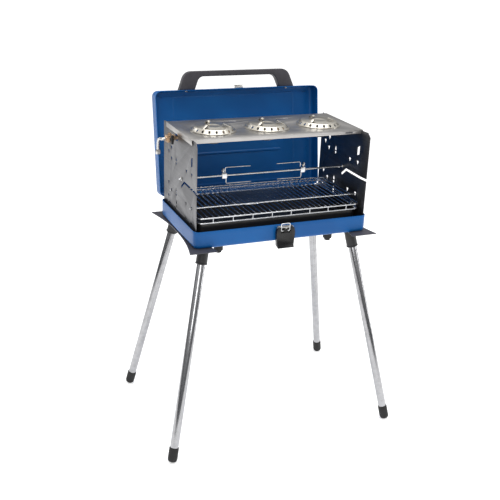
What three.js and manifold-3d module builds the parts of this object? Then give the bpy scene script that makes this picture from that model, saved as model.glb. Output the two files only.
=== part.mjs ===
// Folding camp grill: a suitcase of two pressed steel halves on four plug-in legs, set up for use.
// Millimetres, +X to the right end of the case, +Y to the rear, +Z up.
import * as THREE from "three";
import { mergeVertices } from "three/addons/utils/BufferGeometryUtils.js";
import Module from "manifold-3d";

const wasm = await Module();
wasm.setup();

// ---------------------------------------------------------------- driving dimensions
const CASE_WIDTH = 540; // outside of the case, end to end
const CASE_DEPTH = 316; // outside of the case, front to rear
const TRAY_HEIGHT = 50; // lower half of the case
const LID_HEIGHT = 46; // upper half of the case
const CASE_SHEET = 1.5; // pressed steel of both halves
const CASE_CORNER = 16; // plan radius of the corners
const CASE_EDGE = 9; // radius between floor and walls
const TRAY_Z = 626; // underside of the tray above the ground
const LID_LEAN = 9.4; // open lid, degrees behind upright
const FIT = 0.3; // clearance between parts that touch
const RUN = 0.5; // clearance of turning and sliding parts

const PANEL_SHEET = 1.2; // stainless side panels
const PANEL_X = CASE_WIDTH / 2 - 9; // outer face of a panel from the middle
const PANEL_RISE = 244.5; // top of the panels above the rim of the tray
const PANEL_HALF_DEPTH = CASE_DEPTH / 2 - 8; // front and rear edge of the panels
const FLARE_LENGTH = 30; // front strip of a panel
const FLARE_ANGLE = 7; // that strip turns outward, degrees
const REAR_FLARE_LENGTH = 12;
const REAR_FLARE_ANGLE = 15;
const PANEL_ROD = 4; // wire the panels stand on, diameter
const PANEL_ROD_RISE = 13; // its centre above the underside of the tray

const HOB_DEPTH = CASE_DEPTH - 83; // hob plate, front to rear
const HOB_Y = 11.5; // its middle, behind the middle of the case
const HOB_FRONT_FLANGE = 11;
const HOB_SIDE_FLANGE = 15;
const BURNER_PITCH = (CASE_WIDTH - 39) / 3; // between the three burners
const BURNER_Y = -5;
const CAP_RADIUS = 66; // burner cap at its foot
const CAP_TOP_RADIUS = 54;
const CAP_HEIGHT = 12;
const CAP_HOLES = 18;
const CAP_HOLE = 6.4;
const PRONG_RADIUS = 40; // pan prongs from the middle of a cap
const PRONG_ANGLES = [95, 215, 335];
const POT_RADIUS = 30; // burner under the cap
const GAS_Z = -27; // gas rail below the top of the hob
const GAS_RAIL_Y = 75;
const GAS_RAIL = 12; // outside diameter of the rail
const VALVE_Y = 40; // tap block outside the left panel
const INLET_PIPE = 8; // outside diameter

const SPIT_ROD = 6;
const SPIT_Y = -8;
const SPIT_RISE = 110; // spit above the rim of the tray
const FORK_X = [-131, 122]; // where the two forks are clamped
const FORK_REACH = 84; // length of the prongs
const FORK_SPREAD = 23; // prongs from the middle of the rod
const FORK_WIRE = 3;
const FORK_SCREW_AT = -3; // thumb screw along the hub, away from the prongs

const GRID_WIRE = 4; // long wires of the grids
const GRID_BAR = 2.4; // thin bars of the grids
const GRID_PITCH = 16;
const UPPER_GRID_RISE = 49; // above the rim of the tray
const UPPER_GRID_Y = [60 - CASE_DEPTH / 2, CASE_DEPTH / 2 - 74]; // its two carrying wires
const LOWER_GRID_RISE = 30;
const LOWER_GRID_RAIL_DROP = 14; // second wire below the first
const LOWER_GRID_X = PANEL_X - 7;
const LOWER_GRID_Y = [20 - CASE_DEPTH / 2, CASE_DEPTH / 2 - 40];
const GRID_HALF = PANEL_X - 21; // outermost thin bar from the middle
const PAN_WIDTH = CASE_WIDTH - 40;
const PAN_DEPTH = CASE_DEPTH - 66;
const PAN_HEIGHT = 42;
const PAN_SHEET = 1;

const BRACKET_PLATE = 3;
const BRACKET_INNER_X = CASE_WIDTH / 2 - 58; // inner edge of a leg bracket
const BRACKET_TIP_X = CASE_WIDTH / 2 + 24;
const BRACKET_WAIST_X = CASE_WIDTH / 2 + 2;
const BRACKET_HALF_DEPTH = CASE_DEPTH / 2 + 28;
const LEG_TUBE = 25; // outside diameter
const LEG_WALL = 1.2;
const LEG_TOP = [CASE_WIDTH / 2 - 37, CASE_DEPTH / 2 - 29]; // axis of a leg at the bracket
const LEG_SPLAY = [0.205, 0.182]; // sideways travel for each millimetre down
const LEG_LENGTH = 646; // from the bracket to the ground along the leg
const SOCKET_OUTER = LEG_TUBE + 8;
const SOCKET_DEPTH = 52;
const SOCKET_BORE_START = 9; // solid top of a socket
const FOOT_OUTER = LEG_TUBE + 3.6;
const FOOT_HEIGHT = 45;
const FOOT_SOLE = 12;

const CASE_FOOT_AT = [CASE_WIDTH / 2 - 93, CASE_DEPTH / 2 - 61]; // rubber feet under the tray
const CASE_FOOT = 27;
const CASE_FOOT_HEIGHT = 40;
const CASE_FOOT_TIP = [18, 7]; // the narrower end of a foot: diameter and height

const HANDLE_BASE = [CASE_WIDTH / 2 - 78, CASE_WIDTH / 2 - 128]; // outer and inner end of a handle foot
const HANDLE_TOP = [CASE_WIDTH / 2 - 100, CASE_WIDTH / 2 - 144];
const HANDLE_HEIGHT = 57;
const HANDLE_GRIP = 17; // thickness of the grip bar
const HANDLE_DEPTH = 24;
const HANDLE_SCREW_X = CASE_WIDTH / 2 - 103;

const HINGE_X = CASE_WIDTH / 2 - 80; // middle of each hinge
const HINGE_OFFSET = 4.6; // axis behind the rear wall
const HINGE_KNUCKLE = 6.4;
const HINGE_PIN = 3;
const HINGE_LENGTH = 40;

const LATCH_WIDTH = 58;
const LATCH_DROP = 10; // pivot below the rim
const LATCH_OUT = 6; // pivot in front of the tray
const LATCH_PIN = 3.2;
const LATCH_LENGTH = 56; // from the pivot to the tip
const LOOP_WIRE = 3;
const LOOP_WIDTH = 27;
const LOOP_HEIGHT = 24;

const CATCH_WIDTH = 28;

// ---------------------------------------------------------------- derived positions
const RIM_Z = TRAY_Z + TRAY_HEIGHT;
const PANEL_TOP = RIM_Z + PANEL_RISE;
const HOB_SHEET = 1.2;
const HOB_TOP = PANEL_TOP + FIT + HOB_SHEET;
const HOB_HALF_WIDTH = PANEL_X + 2 + HOB_SHEET;
const HALF_D = CASE_DEPTH / 2;
const SPIT_Z = RIM_Z + SPIT_RISE;
const UPPER_GRID_Z = RIM_Z + UPPER_GRID_RISE;
const LOWER_GRID_Z = RIM_Z + LOWER_GRID_RISE;
const PAN_TOP = LOWER_GRID_Z - LOWER_GRID_RAIL_DROP - GRID_WIRE / 2 - FIT;
const BRACKET_Z = TRAY_Z - FIT; // top face of the leg brackets
const rad = THREE.MathUtils.degToRad;

// ---------------------------------------------------------------- solids
const steel = (color, rough, metal) =>
  new THREE.MeshStandardMaterial({ color, roughness: rough, metalness: metal });
const PAINT_BLUE = steel(0x1c5fa8, 0.35, 0.2);
const STAINLESS = steel(0xb9bbbc, 0.32, 1);
const CHROME = steel(0xdfe2e4, 0.12, 1);
const BLACK_PLASTIC = steel(0x1b1b1d, 0.45, 0);
const GREY_PAINT = steel(0x55565c, 0.5, 0.4);
const HANDLE_GREY = steel(0x333238, 0.55, 0);
const BRASS = steel(0xb08d57, 0.35, 1);
const CAST = steel(0x6f7072, 0.6, 0.8);
const RUBBER = steel(0x121212, 0.85, 0);

const root = new THREE.Group();
root.name = "folding_camp_grill";

// A closed three.js geometry as a manifold solid.
function solid(geometry) {
  const bare = geometry.index ? geometry.toNonIndexed() : geometry.clone();
  bare.deleteAttribute("normal");
  bare.deleteAttribute("uv");
  const merged = mergeVertices(bare, 1e-4);
  const kept = [];
  const index = merged.index.array;
  for (let i = 0; i < index.length; i += 3) {
    const [a, b, c] = [index[i], index[i + 1], index[i + 2]];
    if (a !== b && b !== c && a !== c) kept.push(a, b, c);
  }
  const make = (triVerts) =>
    new wasm.Manifold(
      new wasm.Mesh({
        numProp: 3,
        vertProperties: merged.attributes.position.array,
        triVerts: new Uint32Array(triVerts),
      }),
    );
  const first = make(kept);
  if (first.volume() > 0) return first;
  for (let i = 0; i < kept.length; i += 3) {
    [kept[i + 1], kept[i + 2]] = [kept[i + 2], kept[i + 1]];
  }
  return make(kept);
}

// A manifold solid as a three.js geometry.
function geometryOf(shape) {
  const mesh = shape.getMesh();
  const step = mesh.numProp;
  const at = new Float32Array(mesh.numVert * 3);
  for (let i = 0; i < mesh.numVert; i++) {
    at.set(mesh.vertProperties.subarray(i * step, i * step + 3), i * 3);
  }
  const geometry = new THREE.BufferGeometry();
  geometry.setAttribute("position", new THREE.BufferAttribute(at, 3));
  geometry.setIndex(new THREE.BufferAttribute(mesh.triVerts, 1));
  const flat = geometry.toNonIndexed();
  flat.computeVertexNormals();
  return flat;
}

function place(parent, name, shape, material) {
  const mesh = new THREE.Mesh(geometryOf(shape), material);
  mesh.name = name;
  parent.add(mesh);
  return mesh;
}

const union = (list) => list.reduce((a, b) => a.add(b));

// A box given by its limits.
function block(x0, x1, y0, y1, z0, z1) {
  const g = new THREE.BoxGeometry(x1 - x0, y1 - y0, z1 - z0);
  g.translate((x0 + x1) / 2, (y0 + y1) / 2, (z0 + z1) / 2);
  return solid(g);
}

// A round bar between two points.
function bar(from, to, radius, sides = 12) {
  const a = new THREE.Vector3(...from);
  const b = new THREE.Vector3(...to);
  const g = new THREE.CylinderGeometry(radius, radius, a.distanceTo(b), sides);
  const turn = new THREE.Quaternion().setFromUnitVectors(
    new THREE.Vector3(0, 1, 0),
    b.clone().sub(a).normalize(),
  );
  g.applyQuaternion(turn);
  g.translate((a.x + b.x) / 2, (a.y + b.y) / 2, (a.z + b.z) / 2);
  return solid(g);
}

// A turned part: its profile is [radius, height] pairs, turned round Z.
function turned(profile, sides = 24) {
  const points = profile.map(([r, z]) => new THREE.Vector2(r, z));
  if (profile[0][0] > 0) points.push(points[0].clone());
  const g = new THREE.LatheGeometry(points, sides);
  g.rotateX(Math.PI / 2);
  return solid(g);
}

// Rings with the same number of points, joined into one closed solid.
function loft(rings) {
  const count = rings[0].length;
  const at = [];
  const index = [];
  rings.forEach((ring) => ring.forEach((p) => at.push(p.x, p.y, p.z)));
  for (let r = 0; r + 1 < rings.length; r++) {
    for (let i = 0; i < count; i++) {
      const j = (i + 1) % count;
      const [a, b] = [r * count + i, r * count + j];
      const [c, d] = [a + count, b + count];
      index.push(a, b, d, a, d, c);
    }
  }
  const last = (rings.length - 1) * count;
  for (let i = 1; i + 1 < count; i++) {
    index.push(0, i + 1, i);
    index.push(last, last + i, last + i + 1);
  }
  const g = new THREE.BufferGeometry();
  g.setAttribute("position", new THREE.Float32BufferAttribute(at, 3));
  g.setIndex(index);
  return solid(g);
}

// A wire along points; the joints are mitred. A closed wire comes back to its first point.
function wire(points, radius, sides = 6, closed = false) {
  const line = points.map((p) => new THREE.Vector3(...p));
  const count = line.length;
  const span = (i) => {
    const a = line[(i + count) % count];
    const b = line[(i + 1 + count) % count];
    return b.clone().sub(a).normalize();
  };
  const rings = [];
  let side = new THREE.Vector3(0, 0, 1);
  const first = span(0);
  if (Math.abs(first.dot(side)) > 0.9) side.set(0, 1, 0);
  for (let i = 0; i < count; i++) {
    const before = !closed && i === 0 ? span(0) : span(i - 1);
    const after = !closed && i === count - 1 ? span(count - 2) : span(i);
    const mid = before.clone().add(after).normalize();
    const stretch = 1 / Math.max(0.5, mid.dot(before));
    side.sub(mid.clone().multiplyScalar(side.dot(mid))).normalize();
    const across = new THREE.Vector3().crossVectors(mid, side);
    const bend = after.clone().sub(before);
    bend.sub(mid.clone().multiplyScalar(bend.dot(mid)));
    const turning = bend.length() > 1e-6 ? bend.normalize() : null;
    const ring = [];
    for (let k = 0; k < sides; k++) {
      const t = ((k + 0.5) / sides) * Math.PI * 2;
      const p = side.clone().multiplyScalar(Math.cos(t) * radius);
      p.add(across.clone().multiplyScalar(Math.sin(t) * radius));
      if (turning) {
        p.add(turning.clone().multiplyScalar(p.dot(turning) * (stretch - 1)));
      }
      ring.push(p.add(line[i]));
    }
    rings.push(ring);
  }
  if (!closed) return loft(rings);
  const at = [];
  const index = [];
  rings.forEach((ring) => ring.forEach((p) => at.push(p.x, p.y, p.z)));
  for (let r = 0; r < count; r++) {
    const next = (r + 1) % count;
    for (let k = 0; k < sides; k++) {
      const m = (k + 1) % sides;
      const [a, b] = [r * sides + k, r * sides + m];
      const [c, d] = [next * sides + k, next * sides + m];
      index.push(a, b, d, a, d, c);
    }
  }
  const g = new THREE.BufferGeometry();
  g.setAttribute("position", new THREE.Float32BufferAttribute(at, 3));
  g.setIndex(index);
  return solid(g);
}

// A flat outline in X and Y raised to a height.
function slab(points, height) {
  const shape = new THREE.Shape(points.map(([x, y]) => new THREE.Vector2(x, y)));
  const options = { depth: height, bevelEnabled: false, curveSegments: 6 };
  return solid(new THREE.ExtrudeGeometry(shape, options));
}

// The corners of an outline rounded off.
function rounded(points, radius, steps = 3) {
  const out = [];
  points.forEach((p, i) => {
    const before = points[(i + points.length - 1) % points.length];
    const after = points[(i + 1) % points.length];
    const toward = (q) => {
      const length = Math.hypot(q[0] - p[0], q[1] - p[1]);
      const t = Math.min(radius, length / 2.2) / length;
      return [p[0] + (q[0] - p[0]) * t, p[1] + (q[1] - p[1]) * t];
    };
    const [a, b] = [toward(before), toward(after)];
    for (let k = 0; k <= steps; k++) {
      const t = k / steps;
      const mix = (n) =>
        (1 - t) ** 2 * a[n] + 2 * t * (1 - t) * p[n] + t * t * b[n];
      out.push([mix(0), mix(1)]);
    }
  });
  return out;
}

function roundedRing(width, depth, radius, z, steps = 3) {
  const corner = Math.max(radius, 0.5);
  const ring = [];
  const corners = [
    [1, 1],
    [-1, 1],
    [-1, -1],
    [1, -1],
  ];
  corners.forEach(([sx, sy], q) => {
    for (let k = 0; k <= steps; k++) {
      const t = rad(q * 90 + (k / steps) * 90);
      const x = sx * (width / 2 - corner) + corner * Math.cos(t);
      const y = sy * (depth / 2 - corner) + corner * Math.sin(t);
      ring.push(new THREE.Vector3(x, y, z));
    }
  });
  return ring;
}

// An open pressed box, floor down, its underside at z = 0.
function pressedBox(width, depth, height, sheet, corner, edge, steps = 3) {
  const rings = [];
  const wall = (inset, z) =>
    roundedRing(width - 2 * inset, depth - 2 * inset, corner - inset, z);
  for (let k = 0; k <= steps; k++) {
    const t = rad((k / steps) * 90);
    rings.push(wall(edge * (1 - Math.sin(t)), edge * (1 - Math.cos(t))));
  }
  rings.push(wall(0, height));
  rings.push(wall(sheet, height));
  const inner = edge - sheet;
  for (let k = steps; k >= 0; k--) {
    const t = rad((k / steps) * 90);
    const inset = sheet + inner * (1 - Math.sin(t));
    rings.push(wall(inset, sheet + inner * (1 - Math.cos(t))));
  }
  return loft(rings);
}

// ---------------------------------------------------------------- case tray
const rodZ = TRAY_Z + PANEL_ROD_RISE;
const curlRadius = PANEL_ROD / 2 + 0.4 + PANEL_SHEET;
const rodX = PANEL_X - curlRadius;
const lugY = PANEL_HALF_DEPTH + 2;

let tray = pressedBox(
  CASE_WIDTH, CASE_DEPTH, TRAY_HEIGHT, CASE_SHEET, CASE_CORNER, CASE_EDGE,
).translate([0, 0, TRAY_Z]);
for (const sx of [-1, 1]) {
  for (const sy of [-1, 1]) {
    const [xa, xb] = [sx * (rodX - 7), sx * (rodX + 6)];
    const [ya, yb] = [sy * lugY, sy * (lugY + 2.5)];
    const lug = block(
      Math.min(xa, xb), Math.max(xa, xb),
      Math.min(ya, yb), Math.max(ya, yb),
      TRAY_Z + 0.8, rodZ + 7,
    );
    tray = tray.add(lug);
  }
  const bore = bar(
    [sx * rodX, -lugY - 3.2, rodZ],
    [sx * rodX, lugY + 3.2, rodZ],
    PANEL_ROD / 2 + 0.4,
    10,
  );
  tray = tray.subtract(bore);
}
place(root, "case_tray", tray, PAINT_BLUE);

for (const [side, sx] of [["left", -1], ["right", 1]]) {
  const rod = bar(
    [sx * rodX, -lugY - 2.9, rodZ],
    [sx * rodX, lugY + 2.9, rodZ],
    PANEL_ROD / 2,
    10,
  );
  place(root, "panel_rod_" + side, rod, CHROME);
}

// Rubber feet under the tray.
for (const [where, sx, sy] of [
  ["front_left", -1, -1],
  ["front_right", 1, -1],
  ["rear_left", -1, 1],
  ["rear_right", 1, 1],
]) {
  const r = CASE_FOOT / 2;
  const tip = CASE_FOOT_TIP[0] / 2;
  const step = -CASE_FOOT_HEIGHT + CASE_FOOT_TIP[1];
  const foot = turned([
    [0, 0],
    [r, 0],
    [r, step],
    [tip, step],
    [tip, -CASE_FOOT_HEIGHT + 1.5],
    [tip - 1.5, -CASE_FOOT_HEIGHT],
    [0, -CASE_FOOT_HEIGHT],
  ], 16).translate([sx * CASE_FOOT_AT[0], sy * CASE_FOOT_AT[1], TRAY_Z - FIT]);
  place(root, "case_foot_" + where, foot, RUBBER);
}

// ---------------------------------------------------------------- lid on its hinges
const hingeY = HALF_D + HINGE_OFFSET;
const lidGroup = new THREE.Group();
lidGroup.name = "lid_group";
lidGroup.position.set(0, hingeY, RIM_Z);
lidGroup.rotation.x = -rad(90 + LID_LEAN);
root.add(lidGroup);

// Lid shapes are built closed, with the hinge axis at the origin.
const lidMiddleY = -HINGE_OFFSET - HALF_D;
const lidFrontY = -HINGE_OFFSET - CASE_DEPTH;
const lidTopZ = FIT + LID_HEIGHT;

let lid = pressedBox(
  CASE_WIDTH, CASE_DEPTH, LID_HEIGHT, CASE_SHEET, CASE_CORNER, CASE_EDGE,
)
  .rotate([180, 0, 0])
  .translate([0, lidMiddleY, lidTopZ]);
// The middle field of the lid stands a little proud, and one bead runs across it.
const fieldX = CASE_WIDTH / 2 - 66;
const fieldY = CASE_DEPTH / 2 - 20;
const FIELD_RISE = 1.6;
lid = lid
  .add(block(-fieldX, fieldX, lidMiddleY - fieldY, lidMiddleY + fieldY, lidTopZ - 0.5,
    lidTopZ + FIELD_RISE))
  .subtract(block(-fieldX + 1.4, fieldX - 1.4, lidMiddleY - fieldY + 1.4,
    lidMiddleY + fieldY - 1.4, lidTopZ - CASE_SHEET - 1, lidTopZ + FIELD_RISE - CASE_SHEET));
const beadY = -HINGE_OFFSET - 117;
const beadX = CASE_WIDTH / 2 - 112;
lid = lid
  .add(block(-beadX, beadX, beadY - 3, beadY + 3, lidTopZ - 1.9, lidTopZ + 0.6))
  .subtract(block(2 - beadX, beadX - 2, beadY - 1.6, beadY + 1.6, lidTopZ - 0.4, lidTopZ + 2.5));
for (const sx of [-1, 1]) {
  const z = FIT + LID_HEIGHT / 2;
  const [a, b] = [lidFrontY - 3, lidFrontY + 6];
  lid = lid.subtract(bar([sx * HANDLE_SCREW_X, a, z], [sx * HANDLE_SCREW_X, b, z], 2.6, 10));
}
place(lidGroup, "case_lid", lid, PAINT_BLUE);

// Carrying handle on the front wall of the lid, on top when the lid is open.
{
  const [outer, inner] = HANDLE_BASE;
  const [outerTop, innerTop] = HANDLE_TOP;
  const h = HANDLE_HEIGHT;
  const g = HANDLE_HEIGHT - HANDLE_GRIP;
  const outline = [
    ...rounded([[-outer, 0], [-outerTop, h], [outerTop, h], [outer, 0]], 22, 5)
      .filter((p) => p[1] > 1),
  ];
  const hollow = rounded([[inner, 0], [innerTop, g], [-innerTop, g], [-inner, 0]], 14, 4)
    .filter((p) => p[1] > 1);
  const shape = [[-outer, FIT], ...outline, [outer, FIT], [inner, FIT], ...hollow, [-inner, FIT]];
  const z = FIT + LID_HEIGHT / 2;
  const half = HANDLE_DEPTH / 2;
  const core = slab(shape.map(([x, y]) => [x, lidFrontY - y]), HANDLE_DEPTH - 4)
    .translate([0, 0, z - half + 2]);
  const ease = (p, by) => {
    const centre = h / 2 + g / 2;
    return [p[0], p[1] > centre ? p[1] - by : p[1] + (p[1] > FIT && p[1] >= g - 16 ? by : 0)];
  };
  const skin = slab(
    shape.map((p) => ease(p, 2.2)).map(([x, y]) => [x * 0.994, lidFrontY - y]),
    HANDLE_DEPTH,
  ).translate([0, 0, z - half]);
  let handle = core.add(skin);
  for (const sx of [-1, 1]) {
    const x = sx * HANDLE_SCREW_X;
    handle = handle.subtract(bar([x, lidFrontY + 1, z], [x, lidFrontY - 24, z], 2.4, 10));
    const screw = bar([x, lidFrontY + 5, z], [x, lidFrontY - 22, z], 2, 10)
      .add(bar([x, lidFrontY + CASE_SHEET + FIT, z], [x, lidFrontY + CASE_SHEET + 3.4, z], 5, 12));
    place(lidGroup, sx < 0 ? "handle_screw_left" : "handle_screw_right", screw, CHROME);
  }
  place(lidGroup, "carry_handle", handle, HANDLE_GREY);
}

// Catch for the latch loop: a hooked strip on the front wall of the lid.
{
  const y = (out) => lidFrontY - FIT - out;
  const half = CATCH_WIDTH / 2;
  const base = block(-half, half, y(1.6), y(0), FIT + 5, FIT + 25);
  const shelf = block(-half, half, y(11), y(0.8), FIT + 5, FIT + 6.6);
  const lip = block(-half, half, y(11), y(9.4), FIT + 5, FIT + 12);
  place(lidGroup, "lid_catch", base.add(shelf).add(lip), CHROME);
}

// Two butt hinges: a leaf on the tray, a leaf on the lid and a pin.
for (const [side, x] of [["left", -HINGE_X], ["right", HINGE_X]]) {
  const half = HINGE_LENGTH / 2;
  const third = HINGE_LENGTH / 6;
  const r = HINGE_KNUCKLE / 2;
  const bore = HINGE_PIN / 2 + FIT;
  const [back, face] = [-HINGE_OFFSET + FIT, -HINGE_OFFSET + FIT + 1.5];
  const leaf = (spans, up) => {
    const lay = (za, zb) => (up > 0 ? [za, zb] : [-zb, -za]);
    let out = block(x - half, x + half, back, face, ...lay(r + 1.3, 26));
    for (const [a, b] of spans) {
      out = out.add(block(x + a, x + b, back, face, ...lay(0.2, r + 2)));
      out = out.add(bar([x + a, 0, 0], [x + b, 0, 0], r, 12));
    }
    return out.subtract(bar([x - half - 1, 0, 0], [x + half + 1, 0, 0], bore, 10));
  };
  const trayLeaf = leaf([[-half, -third - 0.2], [third + 0.2, half]], -1)
    .translate([0, hingeY, RIM_Z]);
  place(root, "hinge_leaf_tray_" + side, trayLeaf, STAINLESS);
  place(lidGroup, "hinge_leaf_lid_" + side, leaf([[-third + 0.2, third - 0.2]], 1), STAINLESS);
  const pin = bar([x - half - 0.6, 0, 0], [x + half + 0.6, 0, 0], HINGE_PIN / 2, 10)
    .add(bar([x + half + 0.5, 0, 0], [x + half + 1.8, 0, 0], 2.6, 10))
    .translate([0, hingeY, RIM_Z]);
  place(root, "hinge_pin_" + side, pin, CHROME);
}

// ---------------------------------------------------------------- latch on the front wall
const latchGroup = new THREE.Group();
latchGroup.name = "latch_group";
latchGroup.position.set(0, -HALF_D - LATCH_OUT, RIM_Z - LATCH_DROP);
root.add(latchGroup);
{
  // Local frame: the pivot is at the origin and the wall at y = LATCH_OUT.
  const wall = LATCH_OUT;
  const pin = LATCH_PIN / 2;
  const face = -9.5;
  const half = LATCH_WIDTH / 2;
  const ears = [-1, 1].map((s) => {
    const [a, b] = [s * 22, s * 24.4];
    return block(Math.min(a, b), Math.max(a, b), -4.2, wall - 0.6, -5, 5);
  });
  const plate = block(-24.4, 24.4, wall - 1.9, wall - FIT, -24, 5);
  const base = union([plate, ...ears])
    .subtract(bar([-30, 0, 0], [30, 0, 0], pin + FIT, 10));
  place(latchGroup, "latch_base", base, STAINLESS);

  const outline = rounded([
    [-half + 3.5, 3.5],
    [-half, -12],
    [-half + 3, -LATCH_LENGTH],
    [half - 3, -LATCH_LENGTH],
    [half, -12],
    [half - 3.5, 3.5],
  ], 5, 2);
  const upright = (points, depth, y0) =>
    slab(points, depth).rotate([90, 0, 0]).translate([0, y0 + depth, 0]);
  const shell = upright(outline, 11.5, face);
  const hollowOut = rounded([
    [-half + 4.2, 8],
    [-half + 2.6, -11],
    [-half + 5.2, -LATCH_LENGTH + 3],
    [half - 5.2, -LATCH_LENGTH + 3],
    [half - 2.6, -11],
    [half - 4.2, 8],
  ], 3, 2);
  const hollow = upright(hollowOut, 14, face + 2.5);
  const notch = block(-LOOP_WIDTH / 2 - 2, LOOP_WIDTH / 2 + 2, face - 1, face + 3, -13, 8);
  const lip = slab([
    [face + 0.5, -LATCH_LENGTH + 12],
    [face - 5.5, -LATCH_LENGTH + 1],
    [face - 5.5, -LATCH_LENGTH - 1.5],
    [face + 3, -LATCH_LENGTH],
    [face + 2, -LATCH_LENGTH + 4],
  ], LATCH_WIDTH - 8).rotate([90, 0, 90]).translate([-half + 4, 0, 0]);
  const lugs = [-1, 1].map((s) => {
    const [a, b] = [s * 17, s * 21];
    return block(Math.min(a, b), Math.max(a, b), face + 1, 3, -4, 2.5);
  });
  const tongue = block(-6, 6, face + 1, -1.5, -17, -4.6);
  const lever = union([shell.subtract(hollow).subtract(notch), lip, ...lugs, tongue])
    .subtract(bar([-30, 0, 0], [30, 0, 0], pin + FIT, 10))
    .subtract(bar([-8, -5, -8], [8, -5, -8], LOOP_WIRE / 2 + FIT, 10));
  place(latchGroup, "latch_lever", lever, BLACK_PLASTIC);

  const loop = wire([
    [-LOOP_WIDTH / 2, -5, -8],
    [LOOP_WIDTH / 2, -5, -8],
    [LOOP_WIDTH / 2, -5, LOOP_HEIGHT - 13],
    [LOOP_WIDTH / 2 - 3, -5, LOOP_HEIGHT - 10],
    [-LOOP_WIDTH / 2 + 3, -5, LOOP_HEIGHT - 10],
    [-LOOP_WIDTH / 2, -5, LOOP_HEIGHT - 13],
  ], LOOP_WIRE / 2, 8, true);
  place(latchGroup, "latch_loop", loop, CHROME);
  place(latchGroup, "latch_pin", bar([-25, 0, 0], [25, 0, 0], pin, 10), CHROME);
}

// ---------------------------------------------------------------- side panels
// Places on a panel as [y, height above the rim].
const TRIANGLES = [
  [112, 161],
  [112, 65],
  [112, 24],
  [86, 178],
  [86, 145],
  [UPPER_GRID_Y[1], UPPER_GRID_RISE],
  [-50, 143],
  [-50, 48],
  [-97, 145],
  [UPPER_GRID_Y[0], UPPER_GRID_RISE],
];
const DIAMONDS = [
  [42, 154],
  [40, 60],
  [38, 25],
];
const SLOTS = [101, 51, -48, -99];

// An outline in Y and height, cut through a panel in the X direction.
function punch(points) {
  return slab(points, 2 * PANEL_X + 40)
    .rotate([90, 0, 90])
    .translate([-PANEL_X - 20, 0, RIM_Z]);
}

function panelSection() {
  const half = PANEL_HALF_DEPTH;
  const front = rad(FLARE_ANGLE);
  const rear = rad(REAR_FLARE_ANGLE);
  const run = FLARE_LENGTH * Math.cos(front);
  const rearRun = REAR_FLARE_LENGTH * Math.cos(rear);
  const path = [
    [PANEL_X + FLARE_LENGTH * Math.sin(front), -half],
    [PANEL_X, -half + run],
    [PANEL_X, half - rearRun],
    [PANEL_X + REAR_FLARE_LENGTH * Math.sin(rear), half],
  ];
  return [...path, ...path.map(([x, y]) => [x - PANEL_SHEET, y]).reverse()];
}

function makePanel(isLeft) {
  const bottom = rodZ;
  let panel = slab(panelSection(), PANEL_TOP - bottom).translate([0, 0, bottom]);
  const cuts = [];
  for (const [y, z] of TRIANGLES) {
    cuts.push(punch(rounded([[y - 6.5, z + 6], [y, z - 8], [y + 6.5, z + 6]], 2, 1)));
  }
  for (const [y, z] of DIAMONDS) {
    cuts.push(punch(rounded([[y - 6, z - 9], [y + 6, z - 9], [y, z - 19]], 2, 1)));
    cuts.push(punch(rounded([[y - 5.5, z - 5], [y, z + 11], [y + 5.5, z - 5]], 3, 2)));
  }
  for (const y of SLOTS) {
    cuts.push(punch([[y - 8, 3], [y + 8, 3], [y + 8, 8], [y - 8, 8]]));
  }
  cuts.push(punch([[-103, 172], [-103, 198], [-90, 190], [-90, 166]]));
  // Slot that lets the spit in from the front, with its lower seat.
  cuts.push(punch([
    [-PANEL_HALF_DEPTH - 20, 101],
    [-34, 103],
    [-9, 83],
    [-4, 88],
    [-32, 110],
    [-PANEL_HALF_DEPTH - 20, 108],
  ]));
  // Front top corner.
  cuts.push(punch([
    [-PANEL_HALF_DEPTH - 10, PANEL_RISE + 5],
    [-PANEL_HALF_DEPTH - 10, PANEL_RISE - 12],
    [-PANEL_HALF_DEPTH, PANEL_RISE - 12],
    [-PANEL_HALF_DEPTH + 12, PANEL_RISE],
    [-PANEL_HALF_DEPTH + 12, PANEL_RISE + 5],
  ]));
  if (isLeft) {
    // Opening for the gas rail at the top edge of the left panel.
    const low = HOB_TOP + GAS_Z - GAS_RAIL / 2 - 3 - RIM_Z;
    const [a, b] = [VALVE_Y - 12, VALVE_Y + 12];
    cuts.push(punch([[a, low], [b, low], [b, PANEL_RISE + 5], [a, PANEL_RISE + 5]]));
  }
  panel = panel.subtract(union(cuts));
  // Eyelet hole for the spit.
  panel = panel.subtract(bar([PANEL_X - 8, SPIT_Y, SPIT_Z], [PANEL_X + 8, SPIT_Y, SPIT_Z], 4.9, 10));
  // Curls at the foot, round the rod.
  const curls = [
    [34 - PANEL_HALF_DEPTH, 70 - PANEL_HALF_DEPTH],
    [-20, 20],
    [PANEL_HALF_DEPTH - 54, PANEL_HALF_DEPTH - 18],
  ].map(([a, b]) => bar([rodX, a, rodZ], [rodX, b, rodZ], curlRadius, 12));
  panel = panel.add(union(curls));
  const past = PANEL_HALF_DEPTH + 20;
  const bore = bar([rodX, -past, rodZ], [rodX, past, rodZ], PANEL_ROD / 2 + 0.4, 10);
  panel = panel.subtract(bore);
  return isLeft ? panel.mirror([1, 0, 0]) : panel;
}
place(root, "side_panel_left", makePanel(true), STAINLESS);
place(root, "side_panel_right", makePanel(false), STAINLESS);

// Pressed-in eyelets that carry the spit.
for (const [side, sx] of [["left", -1], ["right", 1]]) {
  const p = PANEL_SHEET;
  const eyelet = turned([
    [SPIT_ROD / 2 + RUN, -1.8],
    [6.6, -1.8],
    [6.6, -FIT],
    [4.6, -FIT],
    [4.6, p + FIT],
    [5.9, p + FIT],
    [5.9, p + 1.5],
    [SPIT_ROD / 2 + RUN, p + 1.5],
  ], 10)
    .rotate([0, 90 * sx, 0])
    .translate([sx * (PANEL_X - p), SPIT_Y, SPIT_Z]);
  place(root, "spit_eyelet_" + side, eyelet, CHROME);
}

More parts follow.
